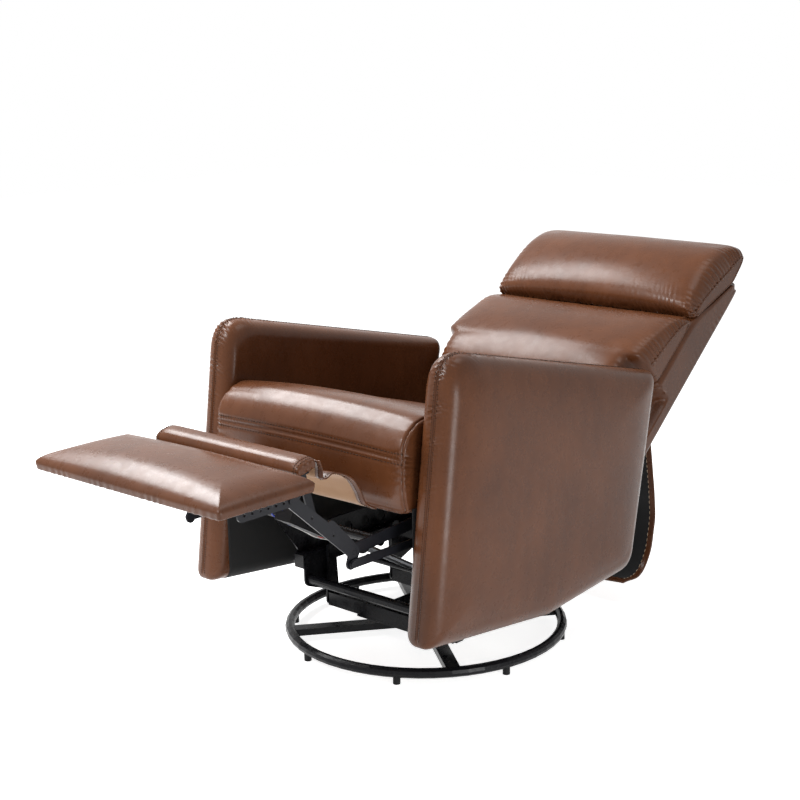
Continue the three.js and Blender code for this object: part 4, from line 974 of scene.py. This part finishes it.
for word, path, up in side_rows(middle, half, 3, slice(6, -5), 1.3):
    sewn = stitches(f"skirt_stitches_{word}", path, up, pale_thread,
                    pitch=0.013, length=0.0085, radius=0.0009)
    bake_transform(sewn)

# Arm linings.
# Below the seat the inner faces of the arms are covered in black non-woven cloth. It is stapled on
# a little behind the front edge, where the leather is folded in round the frame.
lining_front, lining_rear = -0.336, 0.30
lining_y = np.linspace(lining_front, lining_rear, 90) + swivel_y
run_y, run_z = np.abs(np.roll(arm_outline, -1, 0) - arm_outline).T
below = np.flatnonzero((arm_outline[:, 1] < 0.30) & (run_y > run_z))
below = below[np.argsort(arm_outline[below, 0])]
wrapped = arm_skin(1)[arm_panel_rows:arm_panel_rows + 20]
lining_low = np.array([np.interp(lining_y, row[below, 1], row[below, 2]) for row in wrapped])
lining_high = np.interp(lining_y - swivel_y, [lining_front, lining_rear], [0.415, 0.345])
straight = np.linspace(0, 1, 24)[:, None]
bend = np.minimum(np.arange(1, len(wrapped)) / 13, 1)[:, None] * np.pi / 2
across = np.concatenate([0 * straight, wrapped[1:, :1, 0] - arm_inner])
hanging = lining_high[None] * (1 - straight) + lining_low[:1] * straight
lining_z = np.concatenate([hanging, lining_low[1:]])
turned_x = np.concatenate([0 * straight - 1, -np.cos(bend)])
turned_z = np.concatenate([0 * straight, -np.sin(bend)])


def lining_face(side, off):
    """One face of an arm's lining, standing off from the arm's skin by a distance."""
    x, y, z = side * (arm_inner + across + off * turned_x), lining_y[None], lining_z + off * turned_z
    return np.stack([np.broadcast_to(x, z.shape), np.broadcast_to(y, z.shape), z], axis=-1)


for side, word in ((1, "left"), (-1, "right")):
    face, rear = lining_face(side, 0.0007), lining_face(side, -0.0009)
    if side > 0:
        face, rear = face[:, ::-1], rear[:, ::-1]
    lining = new_piece(f"arm_lining_{word}", *sheet_skin(face, rear), [black_cloth])
    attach(lining, "platform")


# Floor ring, glider and mechanism.
# Bent and welded steel tube and stamped steel links in satin black paint, duller on the links. The
# turntable's race and the drive's rod are zinc plated, the glides and the drive moulded plastic.
def painted_steel(name, colour, roughness, metal, wear):
    """Paint over steel: an uneven gloss, fine orange peel, and rubbed specks where noise peaks."""
    finish, add, where = new_finish(name)
    scuff = noise(add, where, 55.0, 8.0, 0.7)
    rubbed = spread(add, scuff, 0.66, 0.74, 0.0, wear)
    shade = tones(add, rubbed, colour, (0.22, 0.22, 0.23, 1))
    rough = spread(add, scuff, 0.3, 0.7, roughness - 0.06, roughness + 0.1)
    peel = raised(add, noise(add, where, 420.0, 3.0), 0.12, 0.0003)
    surface(add, shade, rough, peel, Metallic=metal, IOR=1.4,
            Specular_IOR_Level=0.5 if metal else 0.24)
    return finish


black_paint = painted_steel("satin_black_paint", (0.008, 0.008, 0.010, 1), 0.26, 0.0, 0.25)
zinc = painted_steel("zinc_plate", (0.33, 0.34, 0.36, 1), 0.34, 1.0, 0.5)
dark_links = painted_steel("black_link_paint", (0.012, 0.0125, 0.016, 1), 0.34, 0.0, 0.35)
moulded = painted_steel("black_moulded_plastic", (0.014, 0.014, 0.015, 1), 0.52, 0.0, 0.0)

# Seat board.
# The seat rests on a plain plywood board between the mechanism's side plates.
deck_board, add, where = new_finish("deck_board")
stretch = add("ShaderNodeMapping", None, Vector=where, Scale=(1.5, 30.0, 30.0))
ply = noise(add, stretch.outputs[0], 4.0, 6.0)
timber = tones(add, ply, (0.32, 0.19, 0.09, 1), (0.52, 0.36, 0.20, 1))
surface(add, timber, 0.75, raised(add, ply, 0.3, 0.0006))

# Drive.
# The linear drive has a moulded housing with screw holes in its side, a red sealing ring where its
# tube comes out, and a thin lead that is blue in front and white further back.
drive_axis = unit(np.array([0.0, 391.0, -224.0]))
drive_pivot = np.array([0.0, -0.371 + swivel_y, 0.349])
drive_up = np.array([0.0, -drive_axis[2], drive_axis[1]])
drive_side = np.array([1.0, 0.0, 0.0])


def turned(name, profile, sides, finish):
    """A closed profile (along the drive's axis, radius) turned round that axis by sine and cosine."""
    turn = np.linspace(0, 2 * np.pi, sides, endpoint=False)[:, None, None]
    along, radius = np.array(profile, float).T[:, None, :, None]
    spoke = np.cos(turn) * drive_up + np.sin(turn) * drive_side
    ring = drive_pivot + along * drive_axis + radius * spoke
    index = np.arange(ring.shape[0] * ring.shape[1]).reshape(ring.shape[:2])
    return new_piece(name, ring.reshape(-1, 3), [ring_quads(index, 1, 0)], [finish])


red_rubber = painted_steel("red_seal_rubber", (0.42, 0.018, 0.012, 1), 0.5, 0.0, 0.0)
seal_profile = [(0.0665, 0.0173), (0.0665, 0.0192), (0.0672, 0.0198), (0.0695, 0.0198),
                (0.0702, 0.0192), (0.0702, 0.0173)]
drive_seal = turned("drive_seal", seal_profile, 40, red_rubber)
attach(drive_seal, "drive_housing")

lead_skin, add, where = new_finish("blue_and_white_lead")
depth = add("ShaderNodeSeparateXYZ", None, Vector=where).outputs["Y"]
change = spread(add, depth, -0.3905, -0.3895)
tone = tones(add, change, (0.02, 0.05, 0.42, 1), (0.72, 0.72, 0.70, 1))
surface(add, tone, 0.4, raised(add, noise(add, where, 500.0), 0.2, 0.0003))

# Finishes.
# Every solid has the finish of its slot. The links have a paint of their own, and the lead its two
# colours.
finish_of = {"black_steel": black_paint, "bright_steel": zinc, "black_plastic": moulded,
             "board": deck_board, "leather": brown_leather, "leather_inside": suede}
link_names = ("guide_link", "swing_link", "front_link", "rear_link", "footrest_bracket", "flap_arm")
slot_of = {entry["node"]: entry["material_slot"] for entry in frame["record"]["subparts"]}
for name, node in frame["nodes"].items():
    finish = finish_of[slot_of[name]]
    if name.startswith(link_names):
        finish = dark_links
    if name == "drive_lead":
        finish = lead_skin
    node.data.materials.clear()
    node.data.materials.append(finish)

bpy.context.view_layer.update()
